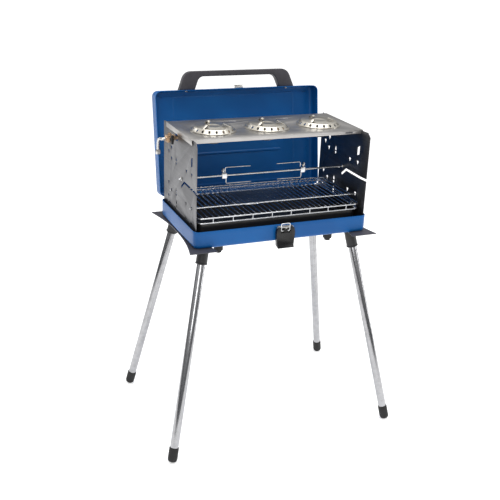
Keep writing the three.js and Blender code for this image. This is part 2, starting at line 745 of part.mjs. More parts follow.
// ---------------------------------------------------------------- hob plate and burners
const burnerX = [-BURNER_PITCH, 0, BURNER_PITCH];
const hobFront = HOB_Y - HOB_DEPTH / 2;
const hobRear = HOB_Y + HOB_DEPTH / 2;
{
  const [w, t] = [HOB_HALF_WIDTH, HOB_SHEET];
  const z = HOB_TOP;
  let plate = union([
    block(-w, w, hobFront, hobRear, z - t, z),
    block(-w, -w + t, hobFront, hobRear, z - HOB_SIDE_FLANGE, z - t / 2),
    block(w - t, w, hobFront, hobRear, z - HOB_SIDE_FLANGE, z - t / 2),
    block(-w, w, hobFront, hobFront + t, z - HOB_FRONT_FLANGE, z - t / 2),
    block(-w, w, hobRear - t, hobRear, z - HOB_FRONT_FLANGE, z - t / 2),
  ]);
  // The front and rear flanges stop short of the panels.
  for (const sx of [-1, 1]) {
    const [a, b] = [sx * (w - t), sx * (PANEL_X - PANEL_SHEET - 1)];
    for (const y of [hobFront, hobRear]) {
      const [x0, x1] = [Math.min(a, b), Math.max(a, b)];
      plate = plate.subtract(block(x0, x1, y - t - 0.5, y + t + 0.5, z - 20, z - t));
    }
  }
  for (const x of burnerX) {
    plate = plate.subtract(bar([x, BURNER_Y, z - 5], [x, BURNER_Y, z + 5], CAP_RADIUS - 9, 28));
  }
  for (const x of [-BURNER_PITCH / 2, BURNER_PITCH / 2]) {
    const arc = (r) => (k) => {
      const t = rad(50 + k * 16);
      return [x + r * Math.cos(t), HOB_Y + 43 + r * Math.sin(t)];
    };
    const steps = [0, 1, 2, 3, 4, 5];
    const outline = [...steps.map(arc(38)), ...steps.map(arc(33)).reverse()];
    plate = plate.subtract(slab(outline, 10).translate([0, 0, z - 5]));
  }
  const [slotA, slotB] = [HOB_HALF_WIDTH - 58.2, HOB_HALF_WIDTH - 34.2];
  const slot = block(slotA, slotB, hobFront - 2, hobFront + 3, z - 8, z - 5);
  place(root, "hob_plate", plate.subtract(slot), STAINLESS);
}

burnerX.forEach((x, n) => {
  const label = ["left", "middle", "right"][n];
  const top = CAP_HEIGHT;
  const s = 1.2;
  let cap = turned([
    [0, top],
    [CAP_TOP_RADIUS, top],
    [CAP_RADIUS - 4.5, s + FIT],
    [CAP_RADIUS, s + FIT],
    [CAP_RADIUS, FIT],
    [CAP_RADIUS - 5.3, FIT],
    [CAP_TOP_RADIUS - 0.8, top - s],
    [0, top - s],
  ], 24);
  const cuts = [];
  for (let k = 0; k < CAP_HOLES; k++) {
    const t = (k / CAP_HOLES) * Math.PI * 2;
    const r = (CAP_RADIUS - 4.5 + CAP_TOP_RADIUS) / 2;
    const [u, v] = [r * Math.cos(t), r * Math.sin(t)];
    cuts.push(bar([u, v, -2], [u, v, top + 3], CAP_HOLE / 2, 6));
  }
  const tabs = [];
  for (const angle of PRONG_ANGLES) {
    const a = PRONG_RADIUS - 12;
    const b = PRONG_RADIUS + 11;
    cuts.push(block(a, b, -5, 5, 0, top + 4).rotate([0, 0, angle]));
    const tab = slab([
      [b + 2, top - 1.1],
      [b + 2, top],
      [a + 3, top + 8.5],
      [a - 1, top + 8.5],
      [a - 1, top + 7.3],
      [a + 2.4, top + 7.3],
      [b - 1, top - 1.1],
    ], 7.4).rotate([90, 0, 0]).translate([0, 3.7, 0]).rotate([0, 0, angle]);
    tabs.push(tab);
  }
  cap = cap.subtract(union(cuts)).add(union(tabs));
  place(root, "burner_cap_" + label, cap.translate([x, BURNER_Y, HOB_TOP]), STAINLESS);

  const pot = turned([
    [0, 6],
    [POT_RADIUS - 6, 6],
    [POT_RADIUS, 1],
    [POT_RADIUS, -20],
    [POT_RADIUS - 12, -36],
    [0, -36],
  ], 20).translate([x, BURNER_Y, HOB_TOP]);
  const neck = bar(
    [x, BURNER_Y, HOB_TOP + GAS_Z],
    [x, GAS_RAIL_Y - GAS_RAIL / 2 - 4.5, HOB_TOP + GAS_Z],
    8,
    12,
  );
  place(root, "burner_" + label, pot.add(neck), CAST);
});

// Gas rail under the hob, from the tap block to the three burners.
const gasZ = HOB_TOP + GAS_Z;
const valveX = -HOB_HALF_WIDTH - 4;
{
  const r = GAS_RAIL / 2;
  const bend = GAS_RAIL_Y - VALVE_Y;
  const inner = 40.2 - HOB_HALF_WIDTH;
  const path = [
    [valveX + FIT, VALVE_Y, gasZ],
    [inner - 10, VALVE_Y, gasZ],
    [inner, VALVE_Y + 5, gasZ],
    [inner + bend - 10, GAS_RAIL_Y - 5, gasZ],
    [inner + bend, GAS_RAIL_Y, gasZ],
    [BURNER_PITCH + 16, GAS_RAIL_Y, gasZ],
  ];
  let rail = wire(path, r, 10);
  for (const x of burnerX) {
    rail = rail.add(bar([x, GAS_RAIL_Y, gasZ], [x, GAS_RAIL_Y - r - 4, gasZ], 3.6, 10));
  }
  place(root, "gas_rail", rail, BRASS);
}

// Tap block outside the left panel, its handle and the bent inlet pipe.
{
  const [x0, x1] = [valveX - 26, valveX - FIT];
  const [y, z] = [VALVE_Y, gasZ];
  const body = block(x0 + 3, x1 - 3, y - 10, y + 10, z - 11, z + 9)
    .add(bar([x1 - 6, y, z], [x1, y, z], 10, 6))
    .add(bar([x0, y, z - 2], [x0 + 6, y, z - 2], 8, 6))
    .add(bar([(x0 + x1) / 2, y - 16, z], [(x0 + x1) / 2, y, z], 7, 6))
    .add(bar([(x0 + x1) / 2, y, z], [(x0 + x1) / 2, y, z + 15], 5, 8));
  place(root, "gas_tap_block", body, BRASS);
  const cx = (x0 + x1) / 2;
  const grip = block(cx - 3.2, cx + 3.2, y - 28, y - 19, z - 12, z + 12)
    .add(bar([cx, y - 22, z], [cx, y - 16.4, z], 6, 12));
  place(root, "gas_tap_handle", grip, BLACK_PLASTIC);
  const r = INLET_PIPE / 2;
  const px = x0 - FIT;
  const pz = z - 2;
  const pipe = wire([
    [px, y, pz],
    [px - 6, y, pz],
    [px - 11, y + 4, pz],
    [px - 14, y + 12, pz - 2],
    [px - 14.5, y + 21, pz - 9],
    [px - 14.5, y + 23, pz - 18],
    [px - 14.5, y + 23, pz - 44],
  ], r, 8);
  const [nx, ny] = [px - 14.5, y + 23];
  const nut = bar([nx, ny, pz - 36], [nx, ny, pz - 49], 7.5, 6);
  const thread = bar([nx, ny, pz - 43], [nx, ny, pz - 52], 3, 8);
  place(root, "gas_inlet_pipe", pipe.add(nut).subtract(thread), CHROME);
}

// ---------------------------------------------------------------- spit
{
  const length = PANEL_X + 9;
  const rod = bar([-length, SPIT_Y, SPIT_Z], [length, SPIT_Y, SPIT_Z], SPIT_ROD / 2, 8);
  place(root, "spit_rod", rod, CHROME);
  FORK_X.forEach((x, n) => {
    const side = n ? "right" : "left";
    const way = n ? -1 : 1;
    const w = FORK_WIRE / 2;
    const at = (u, v, h) => [x + way * u, SPIT_Y + v, SPIT_Z + h];
    const hub = block(x - 7, x + 7, SPIT_Y - 6.5, SPIT_Y + 6.5, SPIT_Z - 7, SPIT_Z + 9)
      .subtract(bar(at(-9, 0, 0), at(9, 0, 0), SPIT_ROD / 2 + 0.4, 10))
      .subtract(bar(at(FORK_SCREW_AT, 0, 0), at(FORK_SCREW_AT, 0, 12), 2.4, 10));
    const prong = (s) =>
      wire([
        at(0, 0, s * 5.4),
        at(0, 0, s * (FORK_SPREAD - 5)),
        at(4, 0, s * FORK_SPREAD),
        at(FORK_REACH - 8, 0, s * FORK_SPREAD),
        at(FORK_REACH, 0, s * (FORK_SPREAD - 1)),
      ], w, 6);
    const shift = (s) => prong(s).translate([way * 5, s * 4, 0]);
    place(root, "spit_fork_" + side, union([hub, shift(1), shift(-1)]), CHROME);
    const c = x + way * FORK_SCREW_AT;
    const screw = bar(at(FORK_SCREW_AT, 0, SPIT_ROD / 2 + FIT), at(FORK_SCREW_AT, 0, 13), 2, 10)
      .add(bar(at(FORK_SCREW_AT, 0, 12), at(FORK_SCREW_AT, 0, 16), 5, 12))
      .add(block(c - 1.4, c + 1.4, SPIT_Y - 7, SPIT_Y + 7, SPIT_Z + 15, SPIT_Z + 23));
    place(root, "thumb_screw_" + side, screw, CHROME);
  });
}

// ---------------------------------------------------------------- grids and drip pan
const barCount = Math.floor((2 * GRID_HALF) / GRID_PITCH);
const gridBars = [];
for (let k = 0; k <= barCount; k++) {
  gridBars.push((k - barCount / 2) * GRID_PITCH);
}
{
  const z = UPPER_GRID_Z;
  const [front, rear] = UPPER_GRID_Y;
  const reach = PANEL_X + 4;
  const parts = [
    wire([[-reach, front, z], [reach, front, z]], GRID_WIRE / 2, 4),
    wire([[-reach, rear, z], [reach, rear, z]], GRID_WIRE / 2, 4),
  ];
  for (const x of gridBars) {
    const up = z + GRID_WIRE / 2;
    parts.push(wire([[x, front - 4, up], [x, rear + 4, up]], GRID_BAR / 2, 4));
  }
  // A bent eye on the front wire to lift the grid by.
  parts.push(wire([
    [-100, front - 2, z + 0.5],
    [-88, front - 9, z + 1.5],
    [-68, front - 9, z + 1.5],
    [-56, front - 2, z + 0.5],
  ], 1.6, 6));
  place(root, "grid_upper", union(parts), CHROME);
}
{
  const z = LOWER_GRID_Z;
  const low = z - LOWER_GRID_RAIL_DROP;
  const [front, rear] = LOWER_GRID_Y;
  const w = LOWER_GRID_X;
  const frame = (h) => {
    const corners = [[-w, front], [w, front], [w, rear], [-w, rear]];
    return wire(rounded(corners, 16, 2).map(([x, y]) => [x, y, h]), GRID_WIRE / 2, 4, true);
  };
  const parts = [frame(z), frame(low)];
  const middle = (front + rear) / 2;
  for (const x of gridBars) {
    const up = z + GRID_WIRE / 2;
    parts.push(wire([[x, front, up], [x, rear, up]], GRID_BAR / 2, 4));
  }
  for (let k = 0; k < 8; k++) {
    const x = ((2 * k) / 7 - 1) * (GRID_HALF - 30);
    parts.push(wire([[x, front, low], [x, front, z]], GRID_BAR / 2, 4));
    parts.push(wire([[x, rear, low], [x, rear, z]], GRID_BAR / 2, 4));
  }
  for (const y of [front + 50, middle, rear - 50]) {
    parts.push(wire([[-w, y, low], [-w, y, z]], GRID_BAR / 2, 4));
    parts.push(wire([[w, y, low], [w, y, z]], GRID_BAR / 2, 4));
  }
  place(root, "grid_lower", union(parts), CHROME);
}
{
  const bottom = PAN_TOP - PAN_HEIGHT;
  let pan = pressedBox(PAN_WIDTH, PAN_DEPTH, PAN_HEIGHT, PAN_SHEET, 20, 8)
    .translate([0, -4, bottom]);
  const stand = bottom - (TRAY_Z + CASE_SHEET) - FIT;
  for (const sx of [-1, 1]) {
    for (const sy of [-1, 1]) {
      const [x, y] = [sx * (PAN_WIDTH / 2 - 50), sy * (PAN_DEPTH / 2 - 45) - 4];
      pan = pan.add(bar([x, y, bottom - stand], [x, y, bottom + 0.5], 9, 12));
    }
  }
  place(root, "drip_pan", pan, STAINLESS);
}

// ---------------------------------------------------------------- leg brackets
for (const [side, sx] of [["left", -1], ["right", 1]]) {
  const [tip, waist, half] = [BRACKET_TIP_X, BRACKET_WAIST_X, BRACKET_HALF_DEPTH];
  const edge = [];
  for (let k = 0; k <= 12; k++) {
    const t = (k / 12) * 2 - 1;
    edge.push([waist + (tip - waist) * Math.abs(t) ** 2.2, t * half]);
  }
  const outline = [
    [BRACKET_INNER_X, -half],
    ...edge,
    [BRACKET_INNER_X, half],
    [BRACKET_INNER_X + 22, 60],
    [BRACKET_INNER_X + 22, -60],
  ];
  const plate = slab(outline.map(([x, y]) => [sx * x, y]), BRACKET_PLATE)
    .translate([0, 0, BRACKET_Z - BRACKET_PLATE]);
  place(root, "leg_bracket_" + side, plate, GREY_PAINT);
}

// ---------------------------------------------------------------- legs
for (const [where, sx, sy] of [
  ["front_left", -1, -1],
  ["front_right", 1, -1],
  ["rear_left", -1, 1],
  ["rear_right", 1, 1],
]) {
  const top = new THREE.Vector3(sx * LEG_TOP[0], sy * LEG_TOP[1], BRACKET_Z - BRACKET_PLATE);
  const down = new THREE.Vector3(sx * LEG_SPLAY[0], sy * LEG_SPLAY[1], -1).normalize();
  const turn = new THREE.Quaternion().setFromUnitVectors(new THREE.Vector3(0, 0, -1), down);
  const angles = new THREE.Euler().setFromQuaternion(turn, "XYZ");

  // The socket is tilted with the leg and cut flat under the bracket.
  const bore = LEG_TUBE / 2 + RUN;
  const outer = SOCKET_OUTER / 2;
  const at = (s) => top.clone().addScaledVector(down, s).toArray();
  const flat = top.z - FIT;
  const socket = bar(at(-12), at(SOCKET_DEPTH), outer, 16)
    .add(bar(at(SOCKET_DEPTH - 4), at(SOCKET_DEPTH), outer + 1, 16))
    .subtract(bar(at(SOCKET_BORE_START), at(SOCKET_DEPTH + 5), bore, 16))
    .trimByPlane([0, 0, -1], -flat);
  place(root, "leg_socket_" + where, socket, BLACK_PLASTIC);

  const leg = new THREE.Group();
  leg.name = "leg_group_" + where;
  leg.position.copy(top);
  leg.rotation.copy(angles);
  root.add(leg);
  const r = LEG_TUBE / 2;
  const start = -SOCKET_BORE_START - FIT;
  const end = -LEG_LENGTH + FOOT_SOLE + FIT;
  const tube = turned([
    [r - LEG_WALL, start],
    [r, start],
    [r, end],
    [r - LEG_WALL, end],
  ], 16);
  place(leg, "leg_tube_" + where, tube, CHROME);
  const f = FOOT_OUTER / 2;
  const foot = turned([
    [0, -LEG_LENGTH + FOOT_SOLE],
    [r + FIT, -LEG_LENGTH + FOOT_SOLE],
    [r + FIT, -LEG_LENGTH + FOOT_HEIGHT],
    [f - 0.4, -LEG_LENGTH + FOOT_HEIGHT],
    [f, -LEG_LENGTH + FOOT_HEIGHT - 2],
    [f, -LEG_LENGTH + 9],
    [f - 1.6, -LEG_LENGTH + 4],
    [f - 5, -LEG_LENGTH + 0.8],
    [0, -LEG_LENGTH],
  ], 16);
  place(leg, "leg_foot_" + where, foot, RUBBER);
}

// The origin sits on the ground under the middle of the object.
root.updateMatrixWorld(true);
const limits = new THREE.Box3().setFromObject(root, true);
const middle = limits.getCenter(new THREE.Vector3());
for (const child of root.children) {
  child.position.sub(new THREE.Vector3(middle.x, middle.y, limits.min.z));
}

export default root;
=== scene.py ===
import math
from contextlib import contextmanager
import bpy
import bmesh
from mathutils import Matrix, Vector


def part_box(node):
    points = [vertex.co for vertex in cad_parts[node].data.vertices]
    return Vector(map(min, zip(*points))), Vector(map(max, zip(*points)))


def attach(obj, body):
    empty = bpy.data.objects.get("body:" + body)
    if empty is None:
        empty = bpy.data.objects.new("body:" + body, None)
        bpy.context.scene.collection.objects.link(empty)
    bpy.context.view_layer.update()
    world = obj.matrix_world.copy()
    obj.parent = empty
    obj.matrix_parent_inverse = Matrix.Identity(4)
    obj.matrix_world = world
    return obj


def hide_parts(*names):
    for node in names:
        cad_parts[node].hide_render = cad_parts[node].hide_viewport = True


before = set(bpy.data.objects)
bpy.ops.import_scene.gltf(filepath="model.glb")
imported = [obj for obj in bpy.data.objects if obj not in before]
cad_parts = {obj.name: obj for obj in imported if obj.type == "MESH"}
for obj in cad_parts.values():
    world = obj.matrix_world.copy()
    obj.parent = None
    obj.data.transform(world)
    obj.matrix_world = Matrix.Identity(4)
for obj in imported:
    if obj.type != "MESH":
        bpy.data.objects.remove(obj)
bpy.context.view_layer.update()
scene = bpy.context.scene
rad = math.radians

# Sizes are in millimetres, with Z measured from the ground, and angles are in radians.
RIM = 676.0
TRAY_HEIGHT, LID_HEIGHT = 50, 46
TRAY_FLOOR = RIM - TRAY_HEIGHT
CASE_SHEET, CASE_CORNER, CASE_EDGE = 1.5, 16, 9
HINGE_OUT = 4.6
LID_GAP = 0.3
LID_ANGLE = rad(99.4)
HOB_TOP = 922.0
BRACKET_TOP = TRAY_FLOOR - 0.3
BRACKET_LOW = BRACKET_TOP - 3.0

# The tray gives the place of everything else: shapes are drawn about its middle.
tray_low, tray_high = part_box("case_tray")
ORIGIN = Vector((0, (tray_low.y + tray_high.y) / 2, tray_low.z - TRAY_FLOOR / 1000))
TO_FRAME = Matrix.Translation(ORIGIN) @ Matrix.Scale(0.001, 4)
WIDTH = (tray_high.x - tray_low.x) * 1000
DEPTH = (tray_high.y - tray_low.y) * 1000
PANEL_X = WIDTH / 2 - 9
PANEL_OUTER = PANEL_X + 3.2
SPIT = Vector((0, -8, RIM + 110))
HINGE_Y = DEPTH / 2 + HINGE_OUT
LID = Matrix.Translation((0, HINGE_Y, RIM)) @ Matrix.Rotation(-LID_ANGLE, 4, "X")
LATCH = Matrix.Translation((0, -DEPTH / 2 - 6, RIM - 10))
SIDES = (("left", -1), ("right", 1))
CORNERS = [("front_left", -1, -1), ("front_right", 1, -1),
           ("rear_left", -1, 1), ("rear_right", 1, 1)]


# ------------------------------------------------------------------ finishes
class Varying:
    """A number that changes over a surface, with the sums that are done on it."""

    def __init__(self, finish, socket):
        self.finish = finish
        self.socket = socket

    def sum(self, kind, a, b):
        made = self.finish.node("ShaderNodeMath", {"operation": kind}, {0: a, 1: b})
        return Varying(self.finish, made.outputs[0])

    def __add__(self, other):
        return self.sum("ADD", self, other)

    __radd__ = __add__

    def __mul__(self, other):
        return self.sum("MULTIPLY", self, other)

    __rmul__ = __mul__

    def __sub__(self, other):
        return self.sum("SUBTRACT", self, other)

    def __rsub__(self, other):
        return self.sum("SUBTRACT", other, self)

    def held(self):
        made = self.finish.node("ShaderNodeClamp", {}, {"Value": self})
        return Varying(self.finish, made.outputs[0])

    def ramp(self, low, high):
        return ((self - low) * (1 / (high - low))).held()


class Finish:
    """One material. Even values go straight on the shader's sockets."""

    def __init__(self, name, **even):
        self.material = bpy.data.materials.new(name)
        self.material.use_nodes = True
        self.tree = self.material.node_tree
        self.shader = self.tree.nodes["Principled BSDF"]
        for label, value in even.items():
            self.shader.inputs[label.replace("_", " ")].default_value = value
        self.place = self.node("ShaderNodeTexCoord").outputs["Object"]

    def node(self, kind, settings=None, sockets=None):
        made = self.tree.nodes.new(kind)
        for label, value in (settings or {}).items():
            setattr(made, label, value)
        for label, value in (sockets or {}).items():
            if isinstance(value, Varying):
                value = value.socket
            if isinstance(value, bpy.types.NodeSocket):
                self.tree.links.new(value, made.inputs[label])
            else:
                made.inputs[label].default_value = value
        return made

    def grain(self, scale, detail=3.0, rough=0.55, warp=0.0):
        """Noise between 0 and 1. Scale is in cycles for each metre, along X, Y and Z."""
        stretch = self.node("ShaderNodeMapping", {}, {"Vector": self.place, "Scale": scale})
        noise = self.node("ShaderNodeTexNoise", {}, {
            "Vector": stretch.outputs[0], "Scale": 1.0, "Detail": detail,
            "Roughness": rough, "Distortion": warp,
        })
        return Varying(self, noise.outputs[0])

    def blend(self, amount, a, b):
        """Colour a where amount is 0 and colour b where it is 1."""
        mixed = self.node("ShaderNodeMix", {"data_type": "RGBA"}, {0: amount, 6: a, 7: b})
        return mixed.outputs[2]

    def feed(self, label, value):
        socket = value.socket if isinstance(value, Varying) else value
        self.tree.links.new(socket, self.shader.inputs[label])

    def relief(self, height, distance, strength=1.0):
        bump = self.node("ShaderNodeBump", {}, {
            "Height": height, "Distance": distance, "Strength": strength,
        })
        self.tree.links.new(bump.outputs[0], self.shader.inputs["Normal"])


def colour(r, g, b):
    """A screen colour, 0 to 255, as the linear colour that a shader takes."""
    def linear(c):
        c = c / 255
        return c / 12.92 if c <= 0.04045 else ((c + 0.055) / 1.055) ** 2.4
    return (linear(r), linear(g), linear(b), 1.0)


def painted(name, base, shade, rough, peel, coat):
    """Stoved paint with a slight drift in colour and the skin of an orange."""
    f = Finish(name, Coat_Roughness=0.12, IOR=1.5, Specular_IOR_Level=0.22)
    drift = f.grain((5, 5, 5), 2)
    f.feed("Base Color", f.blend(drift.ramp(0.35, 0.65), base, shade))
    f.feed("Roughness", rough + 0.10 * f.grain((40, 40, 40), 4))
    f.feed("Coat Weight", coat * (1 - 0.3 * f.grain((12, 12, 12), 3)))
    f.relief(f.grain((peel, peel, peel), 2), 0.0002, 0.22)
    return f.material


def brushed(name, along, base, shade, low=0.24, high=0.46):
    """Sheet steel rubbed in one direction: 0 for X, 1 for Y, 2 for Z."""
    fine = [1500.0, 1500.0, 1500.0]
    coarse = [260.0, 260.0, 260.0]
    fine[along] = 18.0
    coarse[along] = 5.0
    f = Finish(name, Metallic=1.0)
    lines = f.grain(tuple(fine), 3, 0.7)
    bands = f.grain(tuple(coarse), 3, 0.6)
    cloud = f.grain((9, 9, 9), 4, 0.6, 0.4)
    f.feed("Base Color", f.blend((bands * 0.5 + cloud * 0.5).ramp(0.35, 0.65), base, shade))
    f.feed("Roughness", low + (high - low) * (lines * 0.4 + cloud * 0.6))
    f.relief(lines * 0.7 + bands * 0.3, 0.00005, 0.35)
    return f.material


def plated(name, base, low, streak):
    """Bright metal, rubbed in the direction where streak is smallest."""
    f = Finish(name, Metallic=1.0)
    wear = f.grain((60, 60, 60), 4, 0.6)
    rubbed = f.grain(streak, 3, 0.6)
    dark = tuple(c * 0.82 for c in base[:3]) + (1.0,)
    f.feed("Base Color", f.blend(wear.ramp(0.42, 0.68), base, dark))
    f.feed("Roughness", low + 0.12 * rubbed + 0.05 * wear)
    f.relief(rubbed, 0.00003, 0.2)
    return f.material


def moulded(name, base, shade, rough, texture, depth):
    """Plastic, rubber or cast metal with a fine even texture."""
    f = Finish(name, IOR=1.48)
    f.feed("Base Color", f.blend(f.grain((30, 30, 30), 4).ramp(0.35, 0.7), base, shade))
    f.feed("Roughness", rough + 0.14 * f.grain((70, 70, 70), 4))
    f.relief(f.grain((texture, texture, texture), 2, 0.6), depth, 0.4)
    return f.material


BLUE = painted("stove_blue", colour(10, 90, 156), colour(6, 78, 140), 0.34, 900, 0.14)
GREY = painted("bracket_grey", colour(70, 70, 78), colour(60, 60, 68), 0.42, 1600, 0.05)
SHEET_X = brushed("hob_sheet", 0, colour(186, 184, 182), colour(160, 157, 153))
SHEET_Y = brushed("panel_sheet", 1, colour(120, 120, 122), colour(100, 100, 102), 0.34, 0.5)
CAP_STEEL = brushed("cap_steel", 0, colour(214, 210, 200), colour(190, 184, 172), 0.2, 0.38)
PAN_STEEL = brushed("pan_steel", 0, colour(96, 95, 93), colour(72, 71, 70), 0.34, 0.52)
WIRE = plated("wire_plating", colour(226, 228, 230), 0.1, (200, 200, 200))
TUBE = plated("leg_plating", colour(170, 170, 172), 0.06, (300, 300, 8))
SMALL_STEEL = plated("small_steel", colour(208, 206, 202), 0.18, (300, 40, 300))
BRASS = plated("tap_brass", colour(176, 148, 120), 0.26, (200, 200, 200))
CAST = moulded("burner_cast", colour(104, 104, 106), colour(78, 78, 80), 0.55, 700, 0.0005)
BLACK = moulded("latch_black", colour(10, 10, 11), colour(17, 17, 18), 0.18, 500, 0.00006)
SOCKET = moulded("socket_black", colour(20, 20, 21), colour(30, 30, 32), 0.36, 900, 0.00012)
GRIP = moulded("grip_charcoal", colour(48, 46, 51), colour(58, 56, 62), 0.46, 1100, 0.0002)
RUBBER = moulded("foot_rubber", colour(16, 16, 16), colour(28, 28, 28), 0.6, 800, 0.0002)


# ------------------------------------------------------------------ shapes, as (points, faces)
def together(*shapes):
    """Several shapes as one shape."""
    points, faces = [], []
    for more_points, more_faces in shapes:
        start = len(points)
        points += more_points
        faces += [[i + start for i in face] for face in more_faces]
    return points, faces


def moved(shape, matrix):
    return [matrix @ Vector(p) for p in shape[0]], shape[1]


def bands(rings, closed_rings=False, caps=True):
    """Rings with the same number of points, joined by quads."""
    n = len(rings[0])
    points = [p for ring in rings for p in ring]
    faces = []
    last = len(rings) if closed_rings else len(rings) - 1
    for r in range(last):
        s = (r + 1) % len(rings)
        for i in range(n):
            j = (i + 1) % n
            faces.append([r * n + i, r * n + j, s * n + j, s * n + i])
    if caps and not closed_rings:
        faces.append(list(range(n))[::-1])
        faces.append([(len(rings) - 1) * n + i for i in range(n)])
    return points, faces


def turned(profile, sides=48, loop=False):
    """A profile of (radius, height) pairs turned round Z."""
    angles = [2 * math.pi * k / sides for k in range(sides)]
    rings = [[Vector((r * math.cos(a), r * math.sin(a), z)) for a in angles] for r, z in profile]
    return bands(rings, closed_rings=loop, caps=not loop)


def sweep(path, radius, sides=12, closed=False):
    """A round wire along a path."""
    path = [Vector(p) for p in path]
    n = len(path)
    rings, side = [], None
    for i in range(n):
        before = path[i - 1] if closed or i else path[i]
        after = path[(i + 1) % n] if closed or i < n - 1 else path[i]
        along = (after - before).normalized()
        if side is None:
            side = along.cross(Vector((0, 0, 1)) if abs(along.z) < 0.9 else Vector((1, 0, 0)))
        side = (side - along * side.dot(along)).normalized()
        up = along.cross(side)
        rings.append([path[i] + radius * (math.cos(2 * math.pi * k / sides) * side
                      + math.sin(2 * math.pi * k / sides) * up) for k in range(sides)])
    return bands(rings, closed_rings=closed)


def eased(points, radius, steps=8, closed=False):
    """A path with its corners rounded off."""
    points = [Vector(p) for p in points]
    n, out = len(points), []
    for i, p in enumerate(points):
        if not closed and i in (0, n - 1):
            out.append(p)
            continue
        a, b = points[i - 1] - p, points[(i + 1) % n] - p
        a = a.normalized() * min(radius, a.length / 2.1)
        b = b.normalized() * min(radius, b.length / 2.1)
        for k in range(steps + 1):
            t = k / steps
            out.append(p + (1 - t) ** 2 * a + t * t * b)
    return out


def brick(x0, x1, y0, y1, z0, z1):
    ring = [(x0, y0), (x1, y0), (x1, y1), (x0, y1)]
    return bands([[Vector((x, y, z)) for x, y in ring] for z in (z0, z1)])


def slab(outline, z0, z1):
    """A flat plate with the outline that its X and Y points draw."""
    return bands([[Vector((p[0], p[1], z)) for p in outline] for z in (z0, z1)])


def strip(path, thick, half):
    """A bent strip: its path is drawn in X and Z, and it is 2 x half wide along Y."""
    path = [Vector((x, 0, z)) for x, z in path]
    top, low = [], []
    for i, p in enumerate(path):
        along = (path[min(i + 1, len(path) - 1)] - path[max(i - 1, 0)]).normalized()
        across = Vector((-along.z, 0, along.x)) * thick / 2
        top.append(p + across)
        low.append(p - across)
    ring = top + low[::-1]
    return bands([[p + Vector((0, y, 0)) for p in ring] for y in (-half, half)])


def rod(a, b, radius, sides=32, chamfer=0.4):
    """A round bar from a to b with its ends chamfered."""
    a, b = Vector(a), Vector(b)
    length = (b - a).length
    turn = (b - a).to_track_quat("Z", "Y").to_matrix().to_4x4()
    profile = [(0, 0), (radius - chamfer, 0), (radius, chamfer),
               (radius, length - chamfer), (radius - chamfer, length), (0, length)]
    return moved(turned(profile, sides), Matrix.Translation(a) @ turn)


# ------------------------------------------------------------------ from shapes to pieces
# Meshes in the frame are in metres. Points nearer to each other than SEAM are one point.
SEAM = 2e-6


@contextmanager
def opened(mesh, result=None):
    """A mesh opened for editing, and written to result, or back to itself, at the end."""
    work = bmesh.new()
    work.from_mesh(mesh)
    yield work
    work.to_mesh(result or mesh)
    work.free()


def added(name, data, finish=None):
    """A new object in the scene."""
    if finish is not None:
        data.materials.append(finish)
    made = bpy.data.objects.new(name, data)
    scene.collection.objects.link(made)
    return made


def settle(piece, turn_out=True):
    """Joins points that meet, turns the faces outward and shades the piece smooth."""
    mesh = piece.data
    with opened(mesh) as work:
        bmesh.ops.remove_doubles(work, verts=work.verts, dist=SEAM)
        bmesh.ops.dissolve_degenerate(work, edges=work.edges, dist=1e-7)
        if turn_out:
            bmesh.ops.recalc_face_normals(work, faces=work.faces)
    mesh.shade_smooth()
    mesh.set_sharp_from_angle(angle=rad(38))
    return piece


def bake(piece):
    """The modifiers' result as the piece's own plain mesh."""
    bpy.context.view_layer.update()
    seen = piece.evaluated_get(bpy.context.evaluated_depsgraph_get())
    mesh = bpy.data.meshes.new_from_object(seen)
    piece.modifiers.clear()
    piece.data = mesh
    return piece


def soften(piece, width, segments=2, angle=32):
    """Rounds the edges that turn by more than angle."""
    if width:
        bevel = piece.modifiers.new("edge", "BEVEL")
        bevel.width = width / 1000
        bevel.segments = segments
        bevel.limit_method = "ANGLE"
        bevel.angle_limit = rad(angle)
        bake(piece)
    mesh = piece.data
    mesh.shade_smooth()
    mesh.set_sharp_from_angle(angle=rad(50))
    return piece


def piece_of(name, shape, finish, matrix=None, bevel=0, segments=2, turn_out=True):
    """A shape, moved by matrix, as a piece in the frame."""
    if matrix is not None:
        shape = moved(shape, matrix)
    shape = moved(shape, TO_FRAME)
    mesh = bpy.data.meshes.new(name)
    mesh.from_pydata([tuple(p) for p in shape[0]], [], shape[1])
    piece = added(name, mesh, finish)
    settle(piece, turn_out)
    return soften(piece, bevel, segments) if bevel else piece


def seat(piece, body, slot, *nodes):
    """The body that a piece moves with, and the nodes that it shows. The material slot, slot, is not
    used.
    """
    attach(piece, body)
    if nodes:
        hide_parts(*nodes)
    return piece


def from_solid(node, name, finish, width, segments=2):
    """A CAD node's shape with its loose triangles joined and its edges broken."""
    mesh = bpy.data.meshes.new(name)
    with opened(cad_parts[node].data, mesh) as work:
        bmesh.ops.remove_doubles(work, verts=work.verts, dist=SEAM)
        bmesh.ops.dissolve_limit(work, angle_limit=rad(0.8), verts=work.verts, edges=work.edges)
    return soften(added(name, mesh, finish), width, segments)


